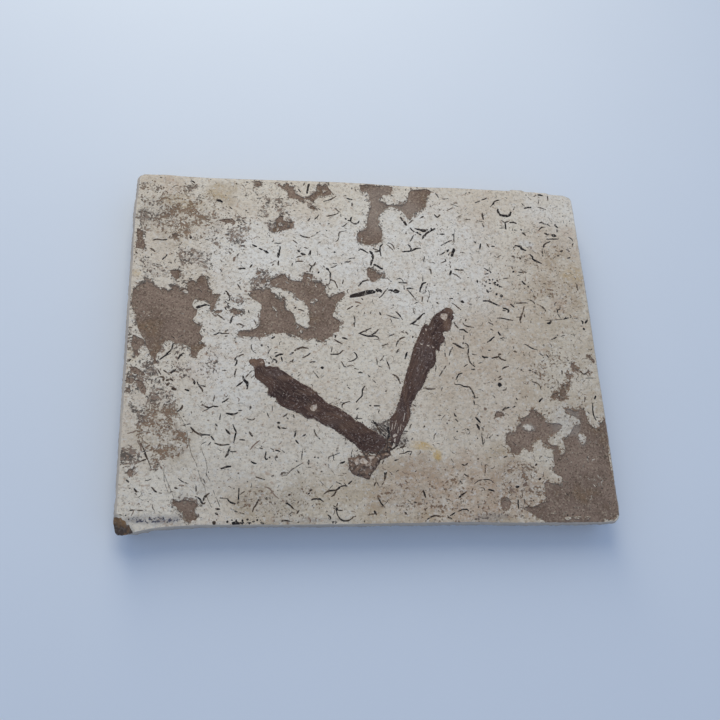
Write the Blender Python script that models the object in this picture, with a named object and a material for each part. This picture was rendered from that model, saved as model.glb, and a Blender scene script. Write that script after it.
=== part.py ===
"""A fossil lying in the face of a small limestone slab.

The slab is a flat plate of bedded stone with worn, stepped sides, a shell-shaped chip at one corner and
shallow pits where its pale skin has flaked off. Two long fibrous wings and a small lumpy body lie in
pockets in its face. Lengths are in millimetres and are turned into metres as each mesh is made.
Plan points are (x, y) on the face, with +X along the long side and +Y along the short one.
"""
import math
import random

import bmesh
import bpy
from mathutils import Vector, noise
from mathutils.geometry import delaunay_2d_cdt, tessellate_polygon

MM = 0.001

# Driving dimensions, in millimetres.
SLAB_THICKNESS = 12.0
PLAN_SHIFT = (0.4, -0.05)         # moves the plan points so that the slab's box is centred on the origin
PIT_DEPTH = 0.45                  # the pale skin that has flaked off
FILM_DEPTH = 0.55                 # how far the wings and body reach below the face
FILM_GAP = 0.3                    # clearance between a film and its pocket
RIB_HEIGHT = 0.16                 # lengthwise ribs of the wings
WING_CAMBER = 0.12
LUMP_HEIGHT = 0.5                 # how far the body's bumps stand above the face
CHIP_RADIUS = 12.7
CHIP_CENTRE = (-79.7, -65.5)      # plan position of the middle of the chip's sphere
CHIP_RISE = 5.6                   # that middle's height above the face
CUTTER_RISE = 2.0                 # how far a cutter stands above the face
EDGE_STEP = 4.0                   # longest run of the slab's edge between two points

# The flat face's edge, anticlockwise from the far left corner. The chip is cut from it afterwards.
FACE_EDGE = (
    (-73.0, 58.9), (-74.4, 58.3), (-74.9, 57.0), (-75.0, 50.0), (-75.3, 48.4), (-75.4, 44.0),
    (-75.3, 33.0), (-75.2, 7.0), (-75.0, -24.0), (-74.8, -48.0), (-74.8, -58.2), (-74.3, -59.3),
    (-73.2, -59.7), (-69.4, -59.8), (-67.0, -59.3), (-65.0, -58.9), (-60.0, -58.4), (-50.0, -58.0),
    (-30.0, -58.2), (-4.0, -58.2), (27.0, -58.0), (46.0, -58.4), (70.0, -58.4), (72.8, -58.3),
    (73.9, -57.7), (74.6, -56.3), (74.9, -53.6), (74.8, -50.0), (75.1, -30.0), (75.0, -6.0),
    (75.2, 12.0), (75.1, 30.0), (75.0, 49.0), (74.9, 56.4), (74.3, 57.5), (72.2, 58.4),
    (66.8, 58.6), (66.0, 59.1), (58.0, 59.3), (57.0, 59.8), (53.5, 59.8), (52.5, 59.3),
    (32.0, 59.4), (22.0, 59.1), (11.0, 59.2), (0.5, 59.5), (-10.0, 59.5), (-30.0, 59.1),
    (-50.0, 58.7), (-60.0, 58.8), (-66.0, 59.1),
)

# The slab's sides, from the face down: depth, how far the ring stands outside the face's edge, and how
# ragged it is. Pairs of rings close together make the ledges of the beds.
SIDE_RINGS = (
    (0.0, 0.0, 0.0),
    (0.5, 0.3, 0.0),
    (1.8, 0.45, 0.0),
    (3.4, 0.3, 0.15),
    (3.6, -0.15, 0.3),
    (6.2, -0.1, 0.3),
    (6.4, -0.6, 0.4),
    (9.2, -0.7, 0.4),
    (9.4, -1.2, 0.3),
    (12.0, -2.0, 0.15),
)
LEFT_SHOULDER = 1.4               # the left side bulges this much more than the others, as a share
BED_SWELL = 0.35                  # how far the ledges rise and fall along a side
BED_WAVE = 0.06                   # how often they do so, per millimetre
RAGGED_WAVE = 0.22                # how often a side's raggedness turns, per millimetre

# Pits in the face, each an outline.
LEFT_PIT = (
    (-74.3, 16.2), (-72.2, 18.2), (-70.9, 18.5), (-70.2, 19.6), (-68.8, 18.9), (-67.4, 17.2),
    (-65.0, 16.8), (-63.8, 16.0), (-62.6, 16.8), (-61.8, 18.0), (-60.6, 17.6), (-59.2, 16.8),
    (-58.2, 18.8), (-56.4, 20.1), (-55.3, 19.4), (-53.6, 21.9), (-52.2, 21.4), (-51.2, 17.4),
    (-50.0, 16.5), (-49.8, 15.3), (-47.6, 15.3), (-48.5, 13.2), (-49.1, 10.8), (-50.4, 9.6),
    (-50.8, 11.4), (-51.5, 13.0), (-54.2, 12.8), (-55.6, 13.2), (-56.2, 11.0), (-54.4, 9.8),
    (-55.0, 7.4), (-55.4, 5.4), (-53.3, 4.2), (-53.4, 1.8), (-52.8, -0.6), (-51.8, -2.8),
    (-53.6, -4.6), (-54.8, -6.8), (-56.0, -4.4), (-56.4, -3.1), (-58.4, -2.2), (-61.0, -1.8),
    (-63.6, -1.2), (-64.8, -2.6), (-65.8, -5.2), (-66.2, -8.6), (-68.0, -6.0), (-69.6, -2.6),
    (-71.6, 1.8), (-72.8, 5.6), (-73.8, 8.2), (-74.6, 12.4),
)
MIDDLE_PIT = (
    (-42.0, 1.6), (-39.6, 0.8), (-34.2, 0.8), (-31.2, 2.0), (-27.0, 2.4), (-24.2, 1.6),
    (-20.2, -0.1), (-18.2, 0.8), (-15.0, -0.4), (-13.2, 1.2), (-11.0, 3.0), (-9.8, 5.2),
    (-9.6, 7.0), (-11.8, 8.4), (-11.2, 10.2), (-10.6, 13.0), (-8.8, 14.8), (-7.8, 16.8),
    (-10.0, 16.8), (-13.2, 15.4), (-14.2, 18.4), (-15.4, 20.6), (-17.4, 20.4), (-18.2, 23.4),
    (-20.6, 24.2), (-21.4, 21.0), (-24.4, 21.0), (-27.0, 23.2), (-28.4, 23.4), (-31.8, 20.6),
    (-31.2, 18.8), (-28.4, 18.2), (-27.2, 17.3), (-24.8, 17.0), (-23.6, 14.8), (-21.0, 13.8),
    (-19.2, 10.6), (-19.4, 7.2), (-18.8, 4.8), (-20.6, 4.2), (-22.2, 5.0), (-23.4, 4.6),
    (-24.0, 7.8), (-25.4, 10.0), (-27.3, 10.8), (-27.4, 14.8), (-28.6, 14.0), (-30.2, 15.4),
    (-31.8, 17.9), (-33.4, 18.2), (-35.2, 17.4), (-37.6, 16.0), (-37.2, 13.8), (-34.6, 12.0),
    (-35.0, 9.0), (-34.9, 5.4), (-37.4, 3.0), (-41.2, 2.8),
)
FAR_PIT = (
    (-0.9, 58.6), (4.4, 58.6), (9.6, 58.7), (10.4, 58.2), (9.4, 55.8), (6.8, 55.2), (5.1, 53.2),
    (7.0, 52.2), (8.6, 51.4), (13.4, 51.6), (14.8, 52.6), (15.7, 55.2), (16.6, 57.6), (19.8, 58.0),
    (22.4, 58.4), (24.0, 57.4), (22.6, 55.8), (21.5, 51.4), (19.2, 49.6), (17.2, 48.4), (15.6, 45.9),
    (13.4, 48.6), (12.0, 49.8), (9.4, 50.5), (7.6, 49.8), (5.6, 47.8), (4.3, 45.0), (5.0, 42.2),
    (5.9, 40.0), (5.2, 36.8), (2.6, 35.8), (0.2, 35.1), (-2.9, 36.8), (-2.4, 38.0), (-2.9, 39.4),
    (-1.0, 40.8), (0.4, 41.2), (0.8, 44.4), (1.9, 48.4), (2.7, 51.0), (1.8, 54.0), (1.2, 56.3),
    (-0.9, 56.5),
)
RIGHT_PIT = (
    (46.8, -25.4), (49.6, -24.2), (50.8, -22.4), (52.0, -22.4), (54.6, -25.4), (56.6, -26.9),
    (60.4, -27.4), (58.8, -29.6), (55.6, -31.0), (54.8, -33.0), (56.6, -34.2), (57.8, -34.4),
    (58.2, -37.0), (59.2, -37.6), (60.3, -35.0), (60.2, -32.2), (62.4, -30.6), (64.2, -27.8),
    (66.6, -27.2), (65.4, -25.0), (62.6, -23.2), (62.4, -22.0), (65.2, -23.0), (67.4, -21.6),
    (69.0, -24.6), (69.6, -27.4), (72.4, -28.7), (73.6, -26.4), (78.0, -25.4), (78.0, -54.0),
    (74.2, -54.6), (73.4, -56.0), (70.0, -57.2), (66.0, -56.8), (62.0, -56.6), (57.0, -57.3),
    (51.0, -57.4), (48.8, -57.0), (44.4, -54.2), (49.0, -53.2), (51.6, -52.0), (52.2, -50.6),
    (51.9, -47.4), (53.0, -45.7), (57.8, -46.2), (58.2, -45.0), (55.6, -43.2), (56.2, -40.6),
    (56.2, -35.8), (53.8, -33.8), (51.6, -31.4), (49.4, -34.6), (48.2, -36.0), (46.0, -35.4),
    (45.4, -36.8), (42.4, -36.6), (41.0, -33.6), (41.8, -30.4), (45.0, -29.6), (45.4, -28.2),
)
NEAR_PIT = (
    (-59.4, -50.4), (-57.4, -51.2), (-55.4, -50.9), (-53.2, -51.2), (-52.4, -52.4), (-53.1, -53.6),
    (-52.4, -55.6), (-52.9, -56.6), (-55.6, -56.9), (-56.6, -54.6), (-58.4, -52.8),
)
SMALL_PIT = ((0.2, 26.6), (2.6, 25.4), (4.4, 23.8), (2.4, 21.6), (1.2, 21.8))

# Each wing is given by its two long edges, both from the tip to the foot.
LEFT_WING_UPPER = (
    (-38.2, -7.6), (-36.6, -6.6), (-34.6, -6.5), (-33.2, -8.6), (-31.0, -9.2), (-29.3, -9.2),
    (-27.0, -11.1), (-23.5, -13.7), (-20.0, -15.6), (-17.3, -17.6), (-15.0, -20.3), (-11.5, -22.1),
    (-8.4, -24.2), (-5.8, -26.4), (-2.5, -28.4), (0.4, -30.0), (2.6, -31.6), (3.4, -32.7),
)
LEFT_WING_LOWER = (
    (-38.2, -8.0), (-37.1, -9.2), (-36.5, -10.4), (-36.5, -12.6), (-34.8, -14.2), (-32.6, -16.4),
    (-32.4, -18.6), (-29.9, -20.6), (-27.0, -22.8), (-23.5, -24.2), (-20.5, -26.1), (-16.8, -27.4),
    (-13.4, -28.9), (-10.0, -31.2), (-7.4, -33.3), (-5.7, -34.8), (-3.6, -36.2), (0.0, -36.8),
    (2.2, -35.8), (3.3, -34.4),
)
RIGHT_WING_LEFT = (
    (26.4, 12.8), (24.6, 12.0), (22.8, 10.7), (20.6, 8.6), (19.6, 6.8), (18.2, 6.7), (17.0, 5.0),
    (15.8, 2.2), (14.5, -0.4), (13.3, -3.6), (12.3, -7.0), (11.1, -10.6), (10.0, -13.8),
    (8.7, -18.2), (7.6, -21.2), (6.5, -24.0), (4.8, -26.0), (4.2, -28.4), (4.7, -31.0), (5.0, -33.4),
)
RIGHT_WING_RIGHT = (
    (27.0, 12.7), (28.0, 11.6), (27.8, 8.8), (27.0, 6.5), (25.8, 4.2), (24.0, 3.5), (24.4, 1.0),
    (22.6, -2.0), (21.1, -3.3), (20.9, -6.5), (19.0, -9.1), (17.3, -12.4), (15.4, -16.0),
    (13.2, -19.2), (11.6, -22.4), (11.3, -25.2), (10.1, -27.8), (8.6, -30.4), (7.5, -33.0),
    (6.9, -33.9),
)
WING_STATIONS = 36                # cross sections along a wing
WING_STRIPS = 8                   # strips across it, every other line between them a rib

BODY_EDGE = (
    (-8.9, -38.2), (-7.2, -38.2), (-5.4, -37.4), (-3.4, -37.5), (0.2, -37.8), (2.6, -36.9),
    (4.3, -36.5), (4.7, -37.4), (2.8, -38.4), (1.4, -39.0), (0.2, -41.0), (-1.4, -43.2),
    (-2.2, -45.0), (-4.2, -44.4), (-7.4, -43.2), (-8.4, -41.0),
)
BODY_GRID = 0.95                  # spacing of the points that shape the lump

# Colour, roughness, metallic.
LIMESTONE = ((0.47, 0.44, 0.40), 0.9, 0.0)
CARBON_FILM = ((0.045, 0.030, 0.026), 0.7, 0.0)
BODY_FILM = ((0.10, 0.065, 0.045), 0.8, 0.0)


def clear_objects():
    """Remove the objects that the scene starts with."""
    for thing in list(bpy.data.objects):
        bpy.data.objects.remove(thing, do_unlink=True)


def surface(name, look):
    """A Principled material of one colour."""
    colour, roughness, metallic = look
    material = bpy.data.materials.new(name)
    material.use_nodes = True
    shader = material.node_tree.nodes["Principled BSDF"]
    shader.inputs["Base Color"].default_value = (*colour, 1.0)
    shader.inputs["Roughness"].default_value = roughness
    shader.inputs["Metallic"].default_value = metallic
    return material


def add_object(name, points, faces, material=None):
    """An object from points in millimetres on the plan and heights above the underside."""
    mesh = bpy.data.meshes.new(name)
    placed = [((x + PLAN_SHIFT[0]) * MM, (y + PLAN_SHIFT[1]) * MM, z * MM) for x, y, z in points]
    mesh.from_pydata(placed, [], faces)
    mesh.validate()
    shape = bmesh.new()
    shape.from_mesh(mesh)
    bmesh.ops.recalc_face_normals(shape, faces=shape.faces[:])
    shape.to_mesh(mesh)
    shape.free()
    thing = bpy.data.objects.new(name, mesh)
    bpy.context.collection.objects.link(thing)
    if material:
        mesh.materials.append(material)
    return thing


def closed_runs(outline, longest):
    """The outline with each run cut into equal steps no longer than the length given."""
    points = []
    for start, end in zip(outline, outline[1:] + outline[:1]):
        start, end = Vector(start), Vector(end)
        steps = max(1, math.ceil((end - start).length / longest))
        points.extend(start.lerp(end, i / steps) for i in range(steps))
    return points


def outward_normals(points):
    """The outward direction at each point of an anticlockwise outline."""
    count = len(points)
    normals = []
    for i in range(count):
        along = (points[(i + 1) % count] - points[i - 1]).normalized()
        normals.append(Vector((along.y, -along.x)))
    return normals


def grown(outline, distance):
    """The outline moved outwards by a distance, for a pocket with clearance."""
    points = [Vector(p) for p in outline]
    count = len(points)
    area = sum(points[i - 1].cross(points[i]) for i in range(count))
    side = 1.0 if area > 0 else -1.0
    moved = []
    for i in range(count):
        before = (points[i] - points[i - 1]).normalized()
        after = (points[(i + 1) % count] - points[i]).normalized()
        out = Vector((before.y + after.y, -before.x - after.x)).normalized()
        stretch = 1.0 / max(0.6, out.dot(Vector((before.y, -before.x))))
        moved.append(points[i] + out * distance * side * stretch)
    return moved


def prism(name, outline, low, high):
    """A closed upright prism on an outline, used as a cutter."""
    count = len(outline)
    points = [(p[0], p[1], low) for p in outline] + [(p[0], p[1], high) for p in outline]
    cap = tessellate_polygon([[Vector((p[0], p[1], 0.0)) for p in outline]])
    faces = [tuple(triangle) for triangle in cap]
    faces += [tuple(count + i for i in reversed(triangle)) for triangle in cap]
    faces += [(i, (i + 1) % count, count + (i + 1) % count, count + i) for i in range(count)]
    return add_object(name, points, faces)


def cut(target, cutter):
    """Take the cutter's shape out of the target and keep the cutter hidden."""
    modifier = target.modifiers.new(cutter.name, "BOOLEAN")
    modifier.operation = "DIFFERENCE"
    modifier.solver = "EXACT"
    modifier.object = cutter
    cutter.hide_render = True
    cutter.display_type = "WIRE"


def make_slab(material):
    """The plate: rings from the face down to the underside, with ragged bed ledges."""
    edge = closed_runs(FACE_EDGE, EDGE_STEP)
    normals = outward_normals(edge)
    points = []
    for layer, (depth, stand, ragged) in enumerate(SIDE_RINGS):
        for point, normal in zip(edge, normals):
            shoulder = 1.0 + LEFT_SHOULDER * max(0.0, -normal.x) if stand > 0.0 else 1.0
            bed = layer // 2 * 3.7
            wave = noise.noise(Vector((point.x * RAGGED_WAVE, point.y * RAGGED_WAVE, bed)))
            swell = noise.noise(Vector((point.x * BED_WAVE, point.y * BED_WAVE, 9.0)))
            place = point + normal * (stand * shoulder - ragged * abs(wave) * 2.0)
            level = depth + BED_SWELL * swell * 2.0 * bool(ragged and depth < SLAB_THICKNESS)
            points.append((place.x, place.y, SLAB_THICKNESS - level))
    count = len(edge)
    faces = []
    for ring in range(len(SIDE_RINGS) - 1):
        upper, lower = ring * count, (ring + 1) * count
        for i in range(count):
            j = (i + 1) % count
            faces.append((upper + i, upper + j, lower + j, lower + i))
    last = (len(SIDE_RINGS) - 1) * count
    faces.append(tuple(range(count)))
    faces.append(tuple(range(last, last + count)))
    return add_object("limestone_slab", points, faces, material)


def cut_pits(slab):
    """Flaked patches in the face, down to the next bed."""
    pits = {
        "left_pit_cutter": LEFT_PIT,
        "middle_pit_cutter": MIDDLE_PIT,
        "far_pit_cutter": FAR_PIT,
        "right_pit_cutter": RIGHT_PIT,
        "near_pit_cutter": NEAR_PIT,
        "small_pit_cutter": SMALL_PIT,
    }
    for name, outline in pits.items():
        low = SLAB_THICKNESS - PIT_DEPTH
        cut(slab, prism(name, outline, low, SLAB_THICKNESS + CUTTER_RISE))


def cut_chip(slab):
    """The shell-shaped chip: a sphere taken from the near left corner."""
    bpy.ops.mesh.primitive_ico_sphere_add(subdivisions=4, radius=CHIP_RADIUS * MM)
    ball = bpy.context.object
    ball.name = "chip_cutter"
    place = (CHIP_CENTRE[0] + PLAN_SHIFT[0], CHIP_CENTRE[1] + PLAN_SHIFT[1], SLAB_THICKNESS + CHIP_RISE)
    ball.location = [length * MM for length in place]
    cut(slab, ball)


def at_share(edge, share):
    """The point a share of the way along a line of points."""
    points = [Vector(p) for p in edge]
    runs = [(b - a).length for a, b in zip(points, points[1:])]
    left = share * sum(runs)
    for start, end, run in zip(points, points[1:], runs):
        if left <= run:
            return start.lerp(end, left / run)
        left -= run
    return points[-1]


def make_wing(name, first_edge, second_edge, material):
    """A thin cambered plate with lengthwise ribs between its two long edges."""
    points = []
    low = SLAB_THICKNESS - FILM_DEPTH
    for station in range(WING_STATIONS + 1):
        share = station / WING_STATIONS
        start, end = at_share(first_edge, share), at_share(second_edge, share)
        for line in range(WING_STRIPS + 1):
            across = line / WING_STRIPS
            place = start.lerp(end, across)
            rise = WING_CAMBER * math.sin(math.pi * across) * math.sin(math.pi * min(1.0, share + 0.1))
            if line % 2 and 0 < station < WING_STATIONS:
                rise += RIB_HEIGHT
            points.append((place.x, place.y, SLAB_THICKNESS + rise))
    row = WING_STRIPS + 1
    top_count = len(points)
    rim = [i for i in range(row)]
    rim += [station * row + WING_STRIPS for station in range(1, WING_STATIONS + 1)]
    rim += [WING_STATIONS * row + i for i in range(WING_STRIPS - 1, -1, -1)]
    rim += [station * row for station in range(WING_STATIONS - 1, 0, -1)]
    points += [(points[i][0], points[i][1], low) for i in rim]
    faces = []
    for station in range(WING_STATIONS):
        for line in range(WING_STRIPS):
            a = station * row + line
            faces.append((a, a + 1, a + row + 1, a + row))
    for i, corner in enumerate(rim):
        j = (i + 1) % len(rim)
        faces.append((corner, rim[j], top_count + j, top_count + i))
    floor = [Vector((points[i][0], points[i][1], 0.0)) for i in rim]
    faces += [tuple(top_count + i for i in triangle) for triangle in tessellate_polygon([floor])]
    return add_object(name, points, faces, material)


def make_body(material):
    """The lump at the foot of the wings: a plate with a rough, knobbly top."""
    edge = [tuple(p) for p in closed_runs(BODY_EDGE, BODY_GRID)]
    count = len(edge)
    xs = [p[0] for p in edge]
    ys = [p[1] for p in edge]
    scatter = random.Random(7)
    inner = []
    y = min(ys) + BODY_GRID
    while y < max(ys):
        x = min(xs) + BODY_GRID
        while x < max(xs):
            point = Vector((x + scatter.uniform(-0.2, 0.2), y + scatter.uniform(-0.2, 0.2)))
            if inside(point, edge) and min((point - Vector(e)).length for e in edge) > BODY_GRID * 0.6:
                inner.append(point)
            x += BODY_GRID
        y += BODY_GRID
    plan = [Vector(p) for p in edge] + inner
    rim = [(i, (i + 1) % count) for i in range(count)]
    plan, _, triangles, _, _, _ = delaunay_2d_cdt(plan, rim, [tuple(range(count))], 1, 1e-5)
    points = []
    for i, p in enumerate(plan):
        bump = abs(noise.noise(Vector((p.x * 0.8, p.y * 0.8, 2.5)))) * 1.6
        rise = 0.0 if i < count else min(LUMP_HEIGHT, 0.12 + bump * LUMP_HEIGHT)
        points.append((p.x, p.y, SLAB_THICKNESS + rise))
    top_count = len(points)
    points += [(p[0], p[1], SLAB_THICKNESS - FILM_DEPTH) for p in edge]
    faces = [tuple(t) for t in triangles]
    faces += [(i, (i + 1) % count, top_count + (i + 1) % count, top_count + i) for i in range(count)]
    floor = [Vector((p[0], p[1], 0.0)) for p in edge]
    faces += [tuple(top_count + i for i in triangle) for triangle in tessellate_polygon([floor])]
    return add_object("body", points, faces, material)


def inside(point, outline):
    """Whether a plan point lies within an outline."""
    crossings = 0
    for (x0, y0), (x1, y1) in zip(outline, outline[1:] + outline[:1]):
        if (y0 > point.y) != (y1 > point.y):
            crossings += point.x < x0 + (point.y - y0) / (y1 - y0) * (x1 - x0)
    return crossings % 2 == 1


def cut_pockets(slab):
    """Pockets that hold the wings and the body with clearance all round."""
    outlines = {
        "left_wing_pocket": LEFT_WING_UPPER + LEFT_WING_LOWER[::-1],
        "right_wing_pocket": RIGHT_WING_LEFT + RIGHT_WING_RIGHT[::-1],
        "body_pocket": BODY_EDGE,
    }
    low = SLAB_THICKNESS - FILM_DEPTH - FILM_GAP
    for name, outline in outlines.items():
        cut(slab, prism(name, grown(outline, FILM_GAP), low, SLAB_THICKNESS + CUTTER_RISE))


def build():
    clear_objects()
    stone = surface("limestone", LIMESTONE)
    film = surface("fossil_film", CARBON_FILM)
    lump = surface("fossil_lump", BODY_FILM)
    slab = make_slab(stone)
    cut_pits(slab)
    cut_chip(slab)
    cut_pockets(slab)
    make_wing("left_wing", LEFT_WING_UPPER, LEFT_WING_LOWER, film)
    make_wing("right_wing", RIGHT_WING_LEFT, RIGHT_WING_RIGHT, film)
    make_body(lump)


build()
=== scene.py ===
"""The looks of a fossil slab: pale bedded limestone strewn with dark plant flecks and two long fibrous wings.

The slab is one closed mesh. Its face is triangulated around every outline drawn on it: the brown patches
where the pale skin has flaked off, the flecks, and the pockets that hold the wings and the body. Plan points
are (x, y) in millimetres on the face, with +X along the long side, and are moved by SHIFT into the frame.
"""
import math
import random
from collections import namedtuple
from itertools import product

import bpy
import numpy as np
from mathutils import Matrix, Vector, noise
from mathutils.geometry import delaunay_2d_cdt


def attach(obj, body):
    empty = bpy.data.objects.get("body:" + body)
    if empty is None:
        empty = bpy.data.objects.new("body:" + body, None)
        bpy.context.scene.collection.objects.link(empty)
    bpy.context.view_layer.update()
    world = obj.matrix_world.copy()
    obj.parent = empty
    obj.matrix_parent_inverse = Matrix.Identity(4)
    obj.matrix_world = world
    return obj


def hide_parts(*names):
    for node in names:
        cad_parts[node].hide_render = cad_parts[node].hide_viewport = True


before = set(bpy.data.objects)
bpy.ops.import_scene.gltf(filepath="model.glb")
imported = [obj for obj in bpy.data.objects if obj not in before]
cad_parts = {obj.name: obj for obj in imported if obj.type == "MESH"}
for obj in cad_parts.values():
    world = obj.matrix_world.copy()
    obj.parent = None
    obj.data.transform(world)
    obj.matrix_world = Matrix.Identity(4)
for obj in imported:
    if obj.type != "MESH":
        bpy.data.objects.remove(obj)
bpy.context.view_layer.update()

MM = 0.001
SHIFT = np.array((0.4, -0.05))    # from plan points to the frame, in mm
TOP = 12.0                        # height of the slab's face, in mm
SEED = 11

# The camera, in mm in the frame: where it stands, and its right, up and forward directions.
CAMERA_PLACE = (-42.09, -107.48, 255.39)
CAMERA_RIGHT = (0.98913, -0.03903, 0.14175)
CAMERA_UP = (-0.01803, 0.92463, 0.38043)
CAMERA_FORWARD = (0.14591, 0.37886, -0.91388)
CAMERA_LENS = 42.3                # mm
SENSOR_WIDTH = 36.0               # mm
CAMERA_REACH = (0.01, 10.0)       # the nearest and furthest that it sees, in metres

# The edge of the slab's face, as the solid has it.
FACE_EDGE = (
    (-73, 58.9), (-74.4, 58.3), (-74.9, 57), (-75, 50), (-75.3, 48.4), (-75.4, 44), (-75.3, 33), (-75.2, 7),
    (-75, -24), (-74.8, -48), (-74.8, -58.2), (-74.3, -59.3), (-73.2, -59.7), (-69.4, -59.8), (-67, -59.3),
    (-65, -58.9), (-60, -58.4), (-50, -58), (-30, -58.2), (-4, -58.2), (27, -58), (46, -58.4), (70, -58.4),
    (72.8, -58.3), (73.9, -57.7), (74.6, -56.3), (74.9, -53.6), (74.8, -50), (75.1, -30), (75, -6),
    (75.2, 12), (75.1, 30), (75, 49), (74.9, 56.4), (74.3, 57.5), (72.2, 58.4), (66.8, 58.6), (66, 59.1),
    (58, 59.3), (57, 59.8), (53.5, 59.8), (52.5, 59.3), (32, 59.4), (22, 59.1), (11, 59.2), (0.5, 59.5),
    (-10, 59.5), (-30, 59.1), (-50, 58.7), (-60, 58.8), (-66, 59.1),
)
# The sides: the solid's rings, and the rows of points that fill them in, as depths below the face.
SIDE_RINGS = (                    # depth, how far it stands outside the face's edge, raggedness
    (0.0, 0.0, 0.0), (0.5, 0.3, 0.0), (1.8, 0.45, 0.0), (3.4, 0.3, 0.15), (3.6, -0.15, 0.3),
    (6.2, -0.1, 0.3), (6.4, -0.6, 0.4), (9.2, -0.7, 0.4), (9.4, -1.2, 0.3), (12.0, -2.0, 0.15),
)
SIDE_ROWS = (0.12, 0.3, 0.5, 0.8, 1.15, 1.5, 1.9, 2.3, 2.8, 3.25, 3.45, 3.6, 4.1, 4.6, 5.1, 5.6, 6.05, 6.25,
             6.45, 7.0, 7.6, 8.2, 8.8, 9.15, 9.35, 9.55, 10.2, 10.9, 11.5, 11.85, 12.0)
ROW_DROP = 0.03                   # the least that a row lies below the one above
LEFT_SHOULDER = 1.4               # how much further the left side's shoulder stands out
BED_SWELL = 0.35                  # how far the beds swell up and down
BED_WAVE = 0.06                   # waves for each mm, as for the next
RAGGED_WAVE = 0.22
BED_TURN = 3.7                    # noise seed from one bed to the next
BED_SEED = 9.0
SIDE_BITES = (                    # waves for each mm, seed and slide for each mm of depth, and mm inwards
    (0.9, 1.3, 1.7, 0.45), (0.35, 0.8, 0.0, 0.5),
)
BED_GROOVE = 0.10                 # depth of the grooves between thin beds
BED_RHYTHM = 9.0                  # their angle for each mm of depth
BITE_FADE = 0.8                   # depth by which the bites are at their full size
CHIP_CENTRE = (-79.7, -65.5)      # of the chip's round hollow, in plan
CHIP_RISE = 5.6                   # how high over the face its centre is
CHIP_RADIUS = 12.7
CHIP_RIPPLE = 0.16                # height of its ripples
CHIP_RHYTHM = 3.2                 # their angle for each mm from the centre
NO_CHIP = 1e3                     # a height above everything, where there is no chip

# Spacing of the points that carry the shapes, in mm.
FACE_GRID = 0.66
FACE_RUN = 0.7                    # along the face's edge
PATCH_RUN = 0.45                  # along a patch's edge
FILM_RUN = 0.32                   # along a wing's edge and the body's
SPOT_RUN = 0.3                    # along a bare spot's edge
UNDER_GRID = 2.0
FILM_GRID = 0.22                  # on the wings
LUMP_GRID = 0.3                   # on the body
FACE_GAP = 0.17                   # least gap between the face's grid and what is drawn on it
FILM_GAP = 0.1                    # least gap between a film's grid and its outlines
FILM_MARGIN = 0.08                # how far inside a film's outline its grid stays
RIM_MARGIN = 0.35                 # how far inside the face's edge the drawn outlines stay
JITTER = 0.2                      # how far a grid's points wander, as a share of its step
MERGE = 1e-5                      # points nearer than this are one
TINY = 1e-9                       # a length taken for nothing
NOISE_GAIN = 2.0                  # noise seldom passes a half, so this brings it to about -1 to 1

# Relief, in mm.
PATCH_DEPTH = 0.22                # how deep the pale skin is
PATCH_SWELL = (0.5, 4.0, 0.05)    # waves for each mm, seed, and how far a patch's floor rises in places
PATCH_LIFT = 0.3                  # how much of the floor is raised: more when greater
WALL_WIDTH = 0.13                 # plan width of a patch's broken edge
POCKET_DEPTH = 0.5
# The gap round each film shows the pockets' dark stone, a painted shade line.
POCKET_GAP = 0.05
POCKET_WALL = 0.065               # plan width of a pocket's wall
FILM_FOOT = 0.42                  # how far the wings and body reach below the face
FACE_LOW = 0.02                   # the least that the face lies below TOP
FACE_RELIEF = ((0.045, 1.0, 0.16), (0.22, 5.0, 0.07), (0.9, 8.0, 0.035))    # waves for each mm, seed, depth
UNDER_RELIEF = ((0.3, 12.0, 0.28), (1.1, 15.0, 0.1))                        # the same for the underside
NICKS = ((1.1, 3.0, 0.3), (0.4, 6.0, 0.5))      # fine and broad nicks of the rim, in the same terms
NICK_START = 0.25                 # the noise above which there is a broad nick
EDGE_BITES = ((1.9, 2.0, 1.0), (4.6, 7.0, 0.7))    # bites and nibbles of a broken edge, with their shares
PATCH_ROUGHNESS = 0.16            # how far a patch's edge is bitten
FRAY = 0.17                       # the same for the films
SPOT_ROUGHNESS = 0.04             # the same for the bare spots
CREASE = math.radians(38.0)       # edges that bend more are shaded as creases

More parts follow.
